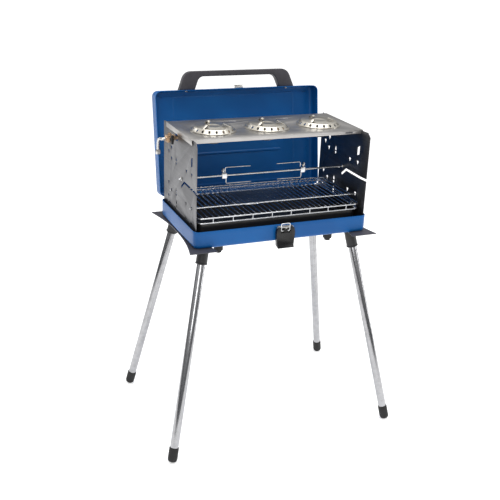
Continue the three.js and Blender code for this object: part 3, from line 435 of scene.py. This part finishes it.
# ------------------------------------------------------------------ repeated things
class Grower:
    """A Geometry Nodes tree with named inputs."""

    def __init__(self, name, inputs):
        self.tree = bpy.data.node_groups.new(name, "GeometryNodeTree")
        face = self.tree.interface
        face.new_socket("Geometry", in_out="INPUT", socket_type="NodeSocketGeometry")
        for label, kind in inputs:
            face.new_socket(label, in_out="INPUT", socket_type="NodeSocket" + kind)
        face.new_socket("Geometry", in_out="OUTPUT", socket_type="NodeSocketGeometry")
        self.given = self.tree.nodes.new("NodeGroupInput").outputs
        self.result = self.tree.nodes.new("NodeGroupOutput").inputs

    def node(self, kind, settings=None, sockets=None):
        made = self.tree.nodes.new(kind)
        for label, value in (settings or {}).items():
            setattr(made, label, value)
        for label, value in (sockets or {}).items():
            if isinstance(value, bpy.types.NodeSocket):
                self.tree.links.new(value, made.inputs[label])
            else:
                made.inputs[label].default_value = value
        return made.outputs

    def end(self, geometry):
        real = self.node("GeometryNodeRealizeInstances", {}, {"Geometry": geometry})
        done = self.node("GeometryNodeSetMaterial", {}, {
            "Geometry": real["Geometry"], "Material": self.given["Finish"],
        })
        self.tree.links.new(done["Geometry"], self.result["Geometry"])
        return self

    def grow(self, name, values, piece=None):
        """The tree's result as a plain mesh, on a new piece or on the one given."""
        if piece is None:
            piece = added(name, bpy.data.meshes.new(name))
        step = piece.modifiers.new("grow", "NODES")
        step.node_group = self.tree
        for item in self.tree.interface.items_tree:
            if item.in_out == "INPUT" and item.name in values:
                step[item.identifier] = values[item.name]
        bake(piece)
        return settle(piece)


def wire_row_tree():
    """Count straight wires side by side."""
    g = Grower("wire_row", [("Count", "Int"), ("First", "Vector"), ("Step", "Vector"),
                            ("Run", "Vector"), ("Radius", "Float"), ("Finish", "Material")])
    line = g.node("GeometryNodeMeshLine", {"mode": "OFFSET"}, {
        "Count": g.given["Count"], "Start Location": g.given["First"], "Offset": g.given["Step"]})
    path = g.node("GeometryNodeCurvePrimitiveLine", {}, {"End": g.given["Run"]})
    ring = g.node("GeometryNodeCurvePrimitiveCircle", {}, {
        "Resolution": 10, "Radius": g.given["Radius"]})
    tube = g.node("GeometryNodeCurveToMesh", {}, {
        "Curve": path["Curve"], "Profile Curve": ring["Curve"], "Fill Caps": True})
    copies = g.node("GeometryNodeInstanceOnPoints", {}, {
        "Points": line["Mesh"], "Instance": tube["Mesh"]})
    return g.end(copies["Instances"])


def stud_tree():
    """A rivet head on each point."""
    g = Grower("studs", [("Radius", "Float"), ("Height", "Float"), ("Turn", "Vector"),
                         ("Finish", "Material")])
    ball = g.node("GeometryNodeMeshUVSphere", {}, {"Segments": 20, "Rings": 10, "Radius": 1.0})
    size = g.node("ShaderNodeCombineXYZ", {}, {
        0: g.given["Radius"], 1: g.given["Radius"], 2: g.given["Height"]})
    copies = g.node("GeometryNodeInstanceOnPoints", {}, {
        "Points": g.given["Geometry"], "Instance": ball["Mesh"],
        "Rotation": g.given["Turn"], "Scale": size["Vector"]})
    return g.end(copies["Instances"])


def perforated_tree():
    """A ring of round holes drilled along Z."""
    g = Grower("perforated", [("Holes", "Int"), ("Ring", "Float"), ("Hole", "Float"),
                              ("Middle", "Vector"), ("Finish", "Material")])
    ring = g.node("GeometryNodeMeshCircle", {}, {
        "Vertices": g.given["Holes"], "Radius": g.given["Ring"]})
    drill = g.node("GeometryNodeMeshCylinder", {}, {
        "Vertices": 20, "Radius": g.given["Hole"], "Depth": 0.04})
    copies = g.node("GeometryNodeInstanceOnPoints", {}, {
        "Points": ring["Mesh"], "Instance": drill["Mesh"]})
    real = g.node("GeometryNodeRealizeInstances", {}, {"Geometry": copies["Instances"]})
    put = g.node("GeometryNodeTransform", {}, {
        "Geometry": real["Geometry"], "Translation": g.given["Middle"]})
    cut = g.node("GeometryNodeMeshBoolean", {"operation": "DIFFERENCE"}, {
        "Mesh 1": g.given["Geometry"], "Mesh 2": put["Geometry"]})
    return g.end(cut["Mesh"])


WIRE_ROW = wire_row_tree()
STUDS = stud_tree()
PERFORATED = perforated_tree()


def wire_row(name, count, first, step, run, radius, finish=WIRE):
    first = TO_FRAME @ Vector(first)
    return WIRE_ROW.grow(name, {
        "Count": count, "First": tuple(first), "Step": tuple(Vector(step) / 1000),
        "Run": tuple(Vector(run) / 1000), "Radius": radius / 1000, "Finish": finish})


def studs(name, places, radius, height, turn, finish, matrix=None):
    spots = [(matrix @ Vector(p)) if matrix is not None else Vector(p) for p in places]
    mesh = bpy.data.meshes.new(name)
    mesh.from_pydata([tuple(TO_FRAME @ p) for p in spots], [], [])
    return STUDS.grow(name, {"Radius": radius / 1000, "Height": height / 1000,
                             "Turn": turn, "Finish": finish}, added(name, mesh))


def joined(name, pieces):
    """Several pieces as one."""
    work = bmesh.new()
    for p in pieces:
        work.from_mesh(p.data)
    mesh = bpy.data.meshes.new(name)
    work.to_mesh(mesh)
    work.free()
    finish = pieces[0].data.materials[0]
    for p in pieces:
        bpy.data.objects.remove(p)
    return settle(added(name, mesh, finish))


# ------------------------------------------------------------------ the two pressed halves of the case
def steps_between(low, high, count):
    return [low + (high - low) * k / count for k in range(count + 1)]


def smooth(a, b, x):
    t = min(1, max(0, (x - a) / (b - a)))
    return t * t * (3 - 2 * t)


def pressed(width, depth, height, corner, edge, xs, ys, relief):
    """An open box pressed from sheet: the floor is down, and relief moves the floor up or down."""
    hx, hy = width / 2 - corner, depth / 2 - corner
    arc = 10
    rows = [(0, height), (0, height * 0.75), (0, height * 0.5), (0, edge + 2)]
    rows += [(edge * (1 - math.cos(a)), edge * (1 - math.sin(a)))
             for a in (rad(90 * k / 10) for k in range(11))]
    rows += [((edge + corner) / 2, 0), (corner, 0)]
    rings = []
    for inset, z in rows:
        r = corner - inset
        ring = [(x, -hy - r) for x in xs]
        ring += [(hx + r * math.sin(rad(90 * k / arc)), -hy - r * math.cos(rad(90 * k / arc)))
                 for k in range(1, arc)]
        ring += [(hx + r, y) for y in ys]
        ring += [(hx + r * math.cos(rad(90 * k / arc)), hy + r * math.sin(rad(90 * k / arc)))
                 for k in range(1, arc)]
        ring += [(x, hy + r) for x in reversed(xs)]
        ring += [(-hx - r * math.sin(rad(90 * k / arc)), hy + r * math.cos(rad(90 * k / arc)))
                 for k in range(1, arc)]
        ring += [(-hx - r, y) for y in reversed(ys)]
        ring += [(-hx - r * math.cos(rad(90 * k / arc)), -hy - r * math.sin(rad(90 * k / arc)))
                 for k in range(1, arc)]
        rings.append([Vector((x, y, z)) for x, y in ring])
    points, faces = bands(rings, caps=False)
    start, nx = len(points), len(xs)
    points += [Vector((x, y, relief(x, y))) for y in ys for x in xs]
    for j in range(len(ys) - 1):
        for i in range(nx - 1):
            a = start + j * nx + i
            faces.append([a, a + nx, a + nx + 1, a + 1])
    return points, faces


def sheet_steel(piece, sheet, outward):
    """Gives a pressed skin its thickness, on its inner side. Outward is the way the floor faces."""
    floor = max(piece.data.polygons, key=lambda f: abs(f.normal.dot(outward)) * f.area)
    if floor.normal.dot(outward) < 0:
        piece.data.flip_normals()
    wall = piece.modifiers.new("sheet", "SOLIDIFY")
    wall.thickness = sheet / 1000
    wall.offset = -1
    bake(piece)
    return soften(piece, 0.35, 2, 60)


FLOOR_X, FLOOR_Y = WIDTH / 2 - CASE_CORNER, DEPTH / 2 - CASE_CORNER
FIELD_X, FIELD_Y = WIDTH / 2 - 66, DEPTH / 2 - 20
BEAD_X, BEAD_Y = WIDTH / 2 - 112, -41


def lines_for(half, marks):
    """Grid lines over a floor, close together at the marks."""
    out = set(round(v, 3) for v in steps_between(-half, half, 40))
    for mark, reach in marks:
        out |= set(round(mark + v, 3) for v in steps_between(-reach, reach, 8))
    lines = [-half]
    for v in sorted(out):
        if v - lines[-1] > 0.6 and half - v > 0.6:
            lines.append(v)
    return lines + [half]


LID_XS = lines_for(FLOOR_X, [(-FIELD_X, 4), (FIELD_X, 4), (-BEAD_X, 4), (BEAD_X, 4)])
LID_YS = lines_for(FLOOR_Y, [(-FIELD_Y, 3.5), (FIELD_Y, 3.5), (BEAD_Y, 5)])
PLAIN_XS = steps_between(-FLOOR_X, FLOOR_X, 24)
PLAIN_YS = steps_between(-FLOOR_Y, FLOOR_Y, 16)


def lid_relief(x, y):
    """A wide raised field with a long bead across it."""
    field_x = 1 - smooth(FIELD_X - 3.5, FIELD_X + 3.5, abs(x))
    field_y = 1 - smooth(FIELD_Y - 3, FIELD_Y + 3, abs(y))
    bead = (1 - smooth(1.0, 4.5, abs(y - BEAD_Y))) * (1 - smooth(BEAD_X - 4, BEAD_X, abs(x)))
    return -1.6 * (field_x * field_y) + 2.2 * bead


def flat(x, y):
    return 0.0


tray = piece_of("tray_pressing",
                pressed(WIDTH, DEPTH, TRAY_HEIGHT, CASE_CORNER, CASE_EDGE, PLAIN_XS, PLAIN_YS, flat),
                BLUE, Matrix.Translation((0, 0, TRAY_FLOOR)), turn_out=False)
sheet_steel(tray, CASE_SHEET, Vector((0, 0, -1)))
seat(tray, "case", "blue_paint", "case_tray")

# The lid and what it carries are drawn shut, with Y and Z measured from the hinge.
FRONT = -HINGE_OUT - DEPTH
LID_MIDDLE = LID_GAP + LID_HEIGHT / 2
CLOSED_TO_LID = (Matrix.Translation((0, -HINGE_OUT - DEPTH / 2, LID_HEIGHT + LID_GAP))
                 @ Matrix.Rotation(rad(180), 4, "X"))
lid = piece_of("lid_pressing",
               pressed(WIDTH, DEPTH, LID_HEIGHT, CASE_CORNER, CASE_EDGE, LID_XS, LID_YS, lid_relief),
               BLUE, LID @ CLOSED_TO_LID, turn_out=False)
sheet_steel(lid, CASE_SHEET, (LID.to_3x3() @ Vector((0, 0, 1))).normalized())
seat(lid, "lid", "blue_paint", "case_lid")

# Lugs that hold the rods of the side panels.
ROD_X, ROD_Z = PANEL_X - 3.6, TRAY_FLOOR + 13
LUG_Y = DEPTH / 2 - 8 + 2
lugs = []
for sx in (-1, 1):
    for sy in (-1, 1):
        a, b = sorted((sx * (ROD_X - 7), sx * (ROD_X + 6)))
        c, d = sorted((sy * LUG_Y, sy * (LUG_Y + 2.5)))
        lugs.append(brick(a, b, c, d, TRAY_FLOOR + CASE_SHEET + 0.1, ROD_Z + 7))
seat(piece_of("panel_rod_lugs", together(*lugs), BLUE, bevel=0.4), "case", "blue_paint")

for side, sx in SIDES:
    pivot = rod((sx * ROD_X, -LUG_Y - 2.9, ROD_Z), (sx * ROD_X, LUG_Y + 2.9, ROD_Z), 2)
    seat(piece_of("rod_" + side, pivot, WIRE), "case", "chrome", "panel_rod_" + side)


# ------------------------------------------------------------------ handle, catch and hinges
handle_outer = eased([(-192, 0, 0), (-170, 57, 0), (170, 57, 0), (192, 0, 0)], 24, 12)
handle_inner = eased([(142, 0, 0), (126, 40, 0), (-126, 40, 0), (-142, 0, 0)], 15, 10)
handle_line = [(p.x, FRONT - 0.3 - p.y * 0.995) for p in handle_outer + handle_inner]
grip = piece_of("grip", slab(handle_line, LID_MIDDLE - 12, LID_MIDDLE + 12), GRIP, LID,
                bevel=3.0, segments=4)
seat(grip, "lid", "handle_plastic", "carry_handle")

for side, sx in SIDES:
    x = sx * (WIDTH / 2 - 103)
    screw = together(
        rod((x, FRONT + 5, LID_MIDDLE), (x, FRONT - 22, LID_MIDDLE), 2, 20),
        rod((x, FRONT + 1.8, LID_MIDDLE), (x, FRONT + 4.9, LID_MIDDLE), 5, 28, 0.9))
    seat(piece_of("grip_screw_" + side, screw, SMALL_STEEL, LID), "lid", "chrome",
         "handle_screw_" + side)

catch = together(
    brick(-14, 14, FRONT - 1.9, FRONT - 0.3, 5.3, 25.3),
    brick(-14, 14, FRONT - 11.3, FRONT - 1.1, 5.3, 6.9),
    brick(-14, 14, FRONT - 11.3, FRONT - 9.7, 5.3, 12.3))
seat(piece_of("catch", catch, SMALL_STEEL, LID, bevel=0.3), "lid", "chrome", "lid_catch")
seat(studs("catch_rivets", [(-8, FRONT - 1.9, 19), (8, FRONT - 1.9, 19)], 2.2, 0.9,
           (rad(90) - LID_ANGLE, 0, 0), SMALL_STEEL, LID), "lid", "chrome")

for side, sx in SIDES:
    x = sx * (WIDTH / 2 - 80)
    for kind, body in (("tray", "case"), ("lid", "lid")):
        node = "hinge_leaf_%s_%s" % (kind, side)
        leaf = from_solid(node, "leaf_%s_%s" % (kind, side), SMALL_STEEL, 0.2)
        seat(leaf, body, "stainless", node)
    pin = together(rod((x - 20.6, HINGE_Y, RIM), (x + 20.6, HINGE_Y, RIM), 1.5, 20, 0.2),
                   rod((x + 20.5, HINGE_Y, RIM), (x + 21.8, HINGE_Y, RIM), 2.6, 20, 0.3))
    seat(piece_of("pin_" + side, pin, SMALL_STEEL), "case", "chrome", "hinge_pin_" + side)
    spots = [(x + v, HINGE_Y - 2.8, RIM - 18) for v in (-13, 0, 13)]
    seat(studs("leaf_rivets_" + side, spots, 2.1, 0.8, (rad(90), 0, 0), SMALL_STEEL),
         "case", "stainless")


# ------------------------------------------------------------------ latch
seat(from_solid("latch_base", "keeper_plate", SMALL_STEEL, 0.2), "case", "stainless", "latch_base")
seat(from_solid("latch_lever", "lever", BLACK, 0.5, 3), "latch_lever", "black_plastic", "latch_lever")
seat(piece_of("lever_pin", rod((-25, 0, 0), (25, 0, 0), 1.6, 24, 0.3), SMALL_STEEL, LATCH),
     "case", "chrome", "latch_pin")
loop_path = eased([(-13.5, -5, -8), (13.5, -5, -8), (13.5, -5, 14), (-13.5, -5, 14)], 4, 6, True)
seat(piece_of("loop", sweep(loop_path, 1.5, 14, True), WIRE, LATCH), "latch_loop", "chrome",
     "latch_loop")


# ------------------------------------------------------------------ side panels, spit eyelets
for side, sx in SIDES:
    seat(from_solid("side_panel_" + side, "panel_" + side, SHEET_Y, 0.22), "case", "stainless",
         "side_panel_" + side)
    turn = (Matrix.Translation((sx * (PANEL_X - 1.2), SPIT.y, SPIT.z))
            @ Matrix.Rotation(rad(90 * sx), 4, "Y"))
    eyelet = turned([(3.5, -1.6), (4.0, -1.8), (6.2, -1.8), (6.6, -1.2), (6.6, -0.3), (4.6, -0.3),
                     (4.6, 1.5), (5.9, 1.5), (5.9, 2.4), (5.6, 2.7), (3.8, 2.7), (3.5, 2.4)], 40, True)
    seat(piece_of("eyelet_" + side, eyelet, SMALL_STEEL, turn), "case", "chrome",
         "spit_eyelet_" + side)


# ------------------------------------------------------------------ hob and burners
seat(from_solid("hob_plate", "hob", SHEET_X, 0.4), "hob", "stainless", "hob_plate")

PITCH = (WIDTH - 39) / 3
BURNER_Y = -5
GAS_DROP, GAS_Y, VALVE_Y = 27, 75, 40
CAP_LINE = [(0, 12), (18, 12), (20, 12.7), (24, 12.7), (26, 12), (50, 12), (53, 11.5), (55, 10.3),
            (60.8, 2.6), (62.5, 1.6), (66, 1.5), (66, 0.3), (61.4, 0.3), (59.8, 1.4), (53.9, 9.5),
            (52.4, 10.4), (50, 10.8), (0, 10.8)]
TAB_LINE = [(53, 11.4), (50, 11.8), (46, 13.0), (41, 15.6), (36, 18.2), (32, 19.6), (29.4, 19.8),
            (27.6, 18.8), (27.0, 17.2), (27.8, 15.9), (29.2, 15.6)]
for label, x in (("left", -PITCH), ("middle", 0), ("right", PITCH)):
    here = Matrix.Translation((x, BURNER_Y, HOB_TOP))
    cap = piece_of("cap_blank_" + label, turned(CAP_LINE, 96), CAP_STEEL, here)
    slots, tabs = [], []
    for angle in (95, 215, 335):
        spin = Matrix.Rotation(rad(angle), 4, "Z")
        hole = eased([(28, -5, 0), (51, -5, 0), (51, 5, 0), (28, 5, 0)], 4, 5, True)
        slots.append(moved(slab([(p.x, p.y) for p in hole], 4, 24), spin))
        tabs.append(moved(strip(TAB_LINE, 1.1, 3.7), spin))
    knife = piece_of("knife_" + label, together(*slots), CAP_STEEL, here)
    cut = cap.modifiers.new("cut", "BOOLEAN")
    cut.operation = "DIFFERENCE"
    cut.object = knife
    bake(cap)
    bpy.data.objects.remove(knife)
    middle = TO_FRAME @ Vector((x, BURNER_Y, HOB_TOP + 8))
    PERFORATED.grow("", {"Holes": 18, "Ring": 0.05785, "Hole": 0.0032, "Middle": tuple(middle),
                         "Finish": CAP_STEEL}, cap)
    tab = piece_of("tabs_" + label, together(*tabs), CAP_STEEL, here, bevel=0.25)
    cap = joined("cap_" + label, [cap, tab])
    seat(cap, "hob", "stainless", "burner_cap_" + label)

    pot = turned([(0, 6), (22, 6), (25, 5.4), (29.4, 1.4), (30, 0.4), (30, -19), (29, -21),
                  (19, -35), (17.6, -36), (0, -36)], 56)
    neck = rod((0, 0, -GAS_DROP), (0, GAS_Y - BURNER_Y - 10.5, -GAS_DROP), 8, 28, 1.0)
    seat(piece_of("burner_body_" + label, together(pot, neck), CAST, here), "hob", "cast_iron",
         "burner_" + label)


# ------------------------------------------------------------------ gas line
GAS_Z = HOB_TOP - GAS_DROP
VALVE_X = -PANEL_OUTER - 4
inner = 40.2 - PANEL_OUTER
rail = sweep(eased([(VALVE_X + 0.3, VALVE_Y, GAS_Z), (inner - 5, VALVE_Y, GAS_Z),
                    (inner + 35, GAS_Y, GAS_Z), (PITCH + 16, GAS_Y, GAS_Z)], 14, 10), 6, 24)
jets = [rod((x, GAS_Y, GAS_Z), (x, GAS_Y - 10, GAS_Z), 3.6, 20) for x in (-PITCH, 0, PITCH)]
seat(piece_of("gas_line", together(rail, *jets), BRASS), "hob", "brass", "gas_rail")
seat(from_solid("gas_tap_block", "tap_body", BRASS, 0.5, 3), "hob", "brass", "gas_tap_block")
seat(from_solid("gas_tap_handle", "tap_bar", SOCKET, 0.7, 3), "gas_tap", "black_plastic",
     "gas_tap_handle")
PIPE_X, PIPE_Z = VALVE_X - 26.3, GAS_Z - 2
NUT_X, NUT_Y = PIPE_X - 14.5, VALVE_Y + 23
pipe = sweep(eased([(PIPE_X, VALVE_Y, PIPE_Z), (PIPE_X - 9, VALVE_Y, PIPE_Z),
                    (PIPE_X - 14, VALVE_Y + 12, PIPE_Z - 1), (NUT_X, NUT_Y, PIPE_Z - 12),
                    (NUT_X, NUT_Y, PIPE_Z - 37)], 11, 10), 4, 24)
nut = moved(turned([(3, -13), (6.8, -13), (7.5, -12.2), (7.5, -0.8), (6.8, 0), (3, 0)], 6, True),
            Matrix.Translation((NUT_X, NUT_Y, PIPE_Z - 36)))
seat(piece_of("inlet", together(pipe, nut), SMALL_STEEL), "hob", "chrome", "gas_inlet_pipe")


# ------------------------------------------------------------------ spit
spit_line = [(0, -270), (1.6, -268.5), (3, -264), (3, 266), (2.4, 269), (0, 270)]
seat(piece_of("spit", turned(spit_line, 28), WIRE,
              Matrix.Translation(SPIT) @ Matrix.Rotation(rad(90), 4, "Y")), "spit", "chrome", "spit_rod")
for side, x, way in (("left", -131, 1), ("right", 122, -1)):
    hub = from_solid("spit_fork_" + side, "fork_" + side, WIRE, 0)
    # Only the hub of the solid is kept: its square prongs make way for round ones.
    hub_half, hub_reach = 0.0072, 0.0095
    with opened(hub.data) as work:
        far = [v for v in work.verts if abs(v.co.x - x / 1000) > hub_half
               or abs(v.co.z - (SPIT.z / 1000 + ORIGIN.z)) > hub_reach]
        bmesh.ops.delete(work, geom=far, context="VERTS")
        bmesh.ops.holes_fill(work, edges=work.edges)
    soften(hub, 0.5)
    prongs = []
    for s in (1, -1):
        line = [(x + way * 5, s * 4, s * 5.4), (x + way * 5, s * 4, s * 23),
                (x + way * 84, s * 4, s * 22.6)]
        path = eased([(px, SPIT.y + py, SPIT.z + pz) for px, py, pz in line], 6, 8)
        prongs.append(sweep(path, 1.5, 14))
    wires = piece_of("prongs_" + side, together(*prongs), WIRE)
    seat(joined("fork_wires_" + side, [hub, wires]), "fork_" + side, "chrome", "spit_fork_" + side)
    c = x - 3 * way
    screw = together(
        rod((c, SPIT.y, SPIT.z + 3.3), (c, SPIT.y, SPIT.z + 13), 2, 20),
        rod((c, SPIT.y, SPIT.z + 12), (c, SPIT.y, SPIT.z + 16), 5, 28, 0.8),
        brick(c - 1.4, c + 1.4, SPIT.y - 7, SPIT.y + 7, SPIT.z + 15, SPIT.z + 23))
    seat(piece_of("wing_screw_" + side, screw, SMALL_STEEL, bevel=0.3), "thumb_screw_" + side, "chrome",
         "thumb_screw_" + side)


# ------------------------------------------------------------------ grids and drip pan
GRID_WIRE, GRID_BAR, BAR_PITCH = 2, 1.2, 16
GRID_DEEP = 14
HALF = PANEL_X - 21
COUNT = int(2 * HALF // BAR_PITCH)
FIRST_BAR = -COUNT * BAR_PITCH / 2
up_z, up_front, up_rear = RIM + 49, 60 - DEPTH / 2, DEPTH / 2 - 74
long_wires = [sweep([(-PANEL_X - 4, y, up_z), (PANEL_X + 4, y, up_z)], GRID_WIRE, 14)
              for y in (up_front, up_rear)]
eye = sweep(eased([(-102, up_front - 1.5, up_z + 0.5), (-88, up_front - 9, up_z + 1.5),
                   (-68, up_front - 9, up_z + 1.5), (-54, up_front - 1.5, up_z + 0.5)], 7, 8), 1.6, 12)
carriers = piece_of("upper_grid_carriers", together(*long_wires, eye), WIRE)
bars = wire_row("upper_grid_bars", COUNT + 1, (FIRST_BAR, up_front - 4, up_z + GRID_WIRE),
                (BAR_PITCH, 0, 0), (0, up_rear - up_front + 8, 0), GRID_BAR)
seat(joined("upper_grid", [carriers, bars]), "case", "chrome", "grid_upper")

low_z, low_front, low_rear = RIM + 30, 20 - DEPTH / 2, DEPTH / 2 - 40
under_z, span = low_z - GRID_DEEP, low_rear - low_front
END_X = PANEL_X - 7
frames = []
for z in (low_z, under_z):
    corners = [(-END_X, low_front, z), (END_X, low_front, z), (END_X, low_rear, z), (-END_X, low_rear, z)]
    frames.append(sweep(eased(corners, 20, 10, True), GRID_WIRE, 14, True))
parts = [piece_of("lower_frames", together(*frames), WIRE)]
parts.append(wire_row("lower_bars", COUNT + 1, (FIRST_BAR, low_front, low_z + GRID_WIRE),
                      (BAR_PITCH, 0, 0), (0, span, 0), GRID_BAR))
for y in (low_front, low_rear):
    parts.append(wire_row("posts", 8, (30 - HALF, y, under_z), ((2 * HALF - 60) / 7, 0, 0),
                          (0, 0, GRID_DEEP), GRID_BAR))
for x in (-END_X, END_X):
    parts.append(wire_row("end_posts", 3, (x, low_front + 50, under_z), (0, (span - 100) / 2, 0),
                          (0, 0, GRID_DEEP), GRID_BAR))
seat(joined("lower_grid", parts), "grid_lower", "chrome", "grid_lower")

PAN_HEIGHT, PAN_CORNER = 42, 20
pan_top = under_z - GRID_WIRE - 0.3
pan_width, pan_depth = WIDTH - 40, DEPTH - 66
pan_xs = steps_between(PAN_CORNER - pan_width / 2, pan_width / 2 - PAN_CORNER, 16)
pan_ys = steps_between(PAN_CORNER - pan_depth / 2, pan_depth / 2 - PAN_CORNER, 8)
pan = piece_of("fat_pan",
               pressed(pan_width, pan_depth, PAN_HEIGHT, PAN_CORNER, 8, pan_xs, pan_ys, flat),
               PAN_STEEL, Matrix.Translation((0, -4, pan_top - PAN_HEIGHT)), turn_out=False)
sheet_steel(pan, 1.0, Vector((0, 0, -1)))
seat(pan, "case", "stainless", "drip_pan")


# ------------------------------------------------------------------ brackets, legs and feet
for side, sx in SIDES:
    tip, waist, half = WIDTH / 2 + 24, WIDTH / 2 + 2, DEPTH / 2 + 28
    inner_x = WIDTH / 2 - 58
    edge = [(waist + (tip - waist) * abs(t) ** 2.2, t * half) for t in steps_between(-1, 1, 48)]
    line = [(inner_x, -half)] + edge + [(inner_x, half), (inner_x + 22, 60), (inner_x + 22, -60)]
    shape = slab([(sx * x, y) for x, y in line], BRACKET_LOW, BRACKET_TOP)
    plate = piece_of("bracket_" + side, shape, GREY, bevel=0.7, segments=3)
    seat(plate, "case", "grey_paint", "leg_bracket_" + side)
    spots = [(sx * 252, y, BRACKET_LOW) for y in (-150, -100, -50, 50, 100, 150)]
    seat(studs("bracket_rivets_" + side, spots, 3.4, 1.3, (0, 0, 0), GREY), "case", "grey_paint")

for where, sx, sy in CORNERS:
    top = Vector((sx * (WIDTH / 2 - 37), sy * (DEPTH / 2 - 29), BRACKET_LOW))
    down = Vector((sx * 0.205, sy * 0.182, -1)).normalized()
    lean = Matrix.Translation(top) @ down.to_track_quat("Z", "Y").to_matrix().to_4x4()
    socket_line = [(13, 9), (13, 52), (16.4, 52), (17.5, 51.2), (17.5, 48.6), (16.5, 47.6), (16.5, -12),
                   (0, -12), (0, 9)]
    socket = piece_of("socket_" + where, turned(socket_line, 56, True), SOCKET, lean)
    # The leaning socket is cut level just under the bracket.
    cut_z = (TO_FRAME @ Vector((0, 0, BRACKET_LOW - 0.3))).z
    with opened(socket.data) as work:
        found = bmesh.ops.bisect_plane(work, geom=work.verts[:] + work.edges[:] + work.faces[:],
                                       plane_co=(0, 0, cut_z), plane_no=(0, 0, 1), clear_outer=True)
        rim = [e for e in found["geom_cut"] if isinstance(e, bmesh.types.BMEdge)]
        bmesh.ops.edgenet_fill(work, edges=rim)
    settle(socket)
    seat(socket, "case", "black_plastic", "leg_socket_" + where)
    tube_line = [(11.3, 9.3), (12.3, 9.3), (12.5, 9.6), (12.5, 633.7), (11.3, 633.7)]
    seat(piece_of("tube_" + where, turned(tube_line, 56, True), TUBE, lean), "leg_" + where, "chrome",
         "leg_tube_" + where)
    foot_line = [(0, 634), (12.8, 634), (12.8, 601), (13.7, 601), (14.2, 601.8), (14.3, 603.2),
                 (14.3, 636), (14.0, 639), (12.9, 642), (11.0, 644.4), (8.6, 645.6), (0, 646)]
    seat(piece_of("foot_" + where, turned(foot_line, 56), RUBBER, lean), "leg_" + where, "rubber",
         "leg_foot_" + where)
    spot = Matrix.Translation((sx * (WIDTH / 2 - 93), sy * (DEPTH / 2 - 61), BRACKET_TOP))
    pad_line = [(0, 0), (13.1, 0), (13.5, -0.5), (13.5, -31.6), (13.1, -32.6), (12.3, -33), (9.5, -33),
                (9, -33.5), (9, -38.4), (8.6, -39.5), (7.6, -40), (0, -40)]
    seat(piece_of("pad_" + where, turned(pad_line, 40), RUBBER, spot), "case", "rubber",
         "case_foot_" + where)


# ------------------------------------------------------------------ floor, light and camera
floor_finish = Finish("pale_floor", Roughness=0.9)
floor_finish.feed("Base Color", floor_finish.blend(
    floor_finish.grain((3, 3, 3), 3), (0.90, 0.90, 0.90, 1), (0.92, 0.92, 0.92, 1)))
floor_finish.shader.inputs["Emission Color"].default_value = (1, 1, 1, 1)
floor_finish.shader.inputs["Emission Strength"].default_value = 0.42
FAR, BELOW = 60, -0.0005
floor_mesh = bpy.data.meshes.new("floor")
floor_mesh.from_pydata([(-FAR, -FAR, BELOW), (FAR, -FAR, BELOW), (FAR, FAR, BELOW), (-FAR, FAR, BELOW)],
                       [], [(0, 1, 2, 3)])
floor = added("floor", floor_mesh, floor_finish.material)

# The room is dark low down and white overhead.
world = bpy.data.worlds.new("room")
scene.world = world
world.use_nodes = True
room = world.node_tree
ray = room.nodes.new("ShaderNodeTexCoord")
split = room.nodes.new("ShaderNodeSeparateXYZ")
rise = room.nodes.new("ShaderNodeMapRange")
shade = room.nodes.new("ShaderNodeMix")
shade.data_type = "RGBA"
rise.inputs["From Min"].default_value = 0.0
rise.inputs["From Max"].default_value = 0.7
shade.inputs[6].default_value = (0.075, 0.08, 0.09, 1)
shade.inputs[7].default_value = (1.0, 1.0, 1.0, 1)
room.links.new(ray.outputs["Generated"], split.inputs[0])
room.links.new(split.outputs["Z"], rise.inputs["Value"])
room.links.new(rise.outputs[0], shade.inputs[0])
room.links.new(shade.outputs[2], room.nodes["Background"].inputs["Color"])
room.nodes["Background"].inputs["Strength"].default_value = 0.9


def soft_box(name, place, size, power):
    """A lamp that faces the middle of the grill."""
    data = bpy.data.lights.new(name, "AREA")
    data.shape = "RECTANGLE"
    data.size, data.size_y = size
    data.energy = power
    lamp = added(name, data)
    lamp.location = place
    lamp.rotation_mode = "QUATERNION"
    lamp.rotation_quaternion = (Vector(place) - Vector((0, 0, 0.7))).to_track_quat("Z", "Y")


soft_box("key", (-1.6, -3.2, 2.6), (1.2, 1.8), 34)
soft_box("side", (2.9, -1.0, 1.5), (0.5, 2.2), 22)
soft_box("back", (-1.8, 2.6, 2.0), (0.7, 1.8), 16)
soft_box("top", (0.2, 0.2, 3.4), (2.4, 2.0), 48)

# The camera looks along -back, then rolls about it.
CAMERA_AT = Vector((-973.5, -2170.3, 1467.1))
azimuth, height, roll = rad(-23.2), rad(22.55), rad(2.31)
back = Vector((math.sin(azimuth) * math.cos(height), -math.cos(azimuth) * math.cos(height),
               math.sin(height)))
level = Vector((0, 0, 1)).cross(back).normalized()
upright = back.cross(level)
right = math.cos(roll) * level + math.sin(roll) * upright
up = -math.sin(roll) * level + math.cos(roll) * upright
eye_data = bpy.data.cameras.new("camera")
eye_data.sensor_width = 36
eye_data.lens = 59.373
eye_data.shift_x = 0.0062
eye_data.shift_y = 0.0318
eye_data.clip_end = 200
camera = added("camera", eye_data)
camera.matrix_world = (Matrix.Translation(TO_FRAME @ CAMERA_AT)
                       @ Matrix((right, up, back)).transposed().to_4x4())
scene.camera = camera
scene.view_settings.view_transform = "Standard"
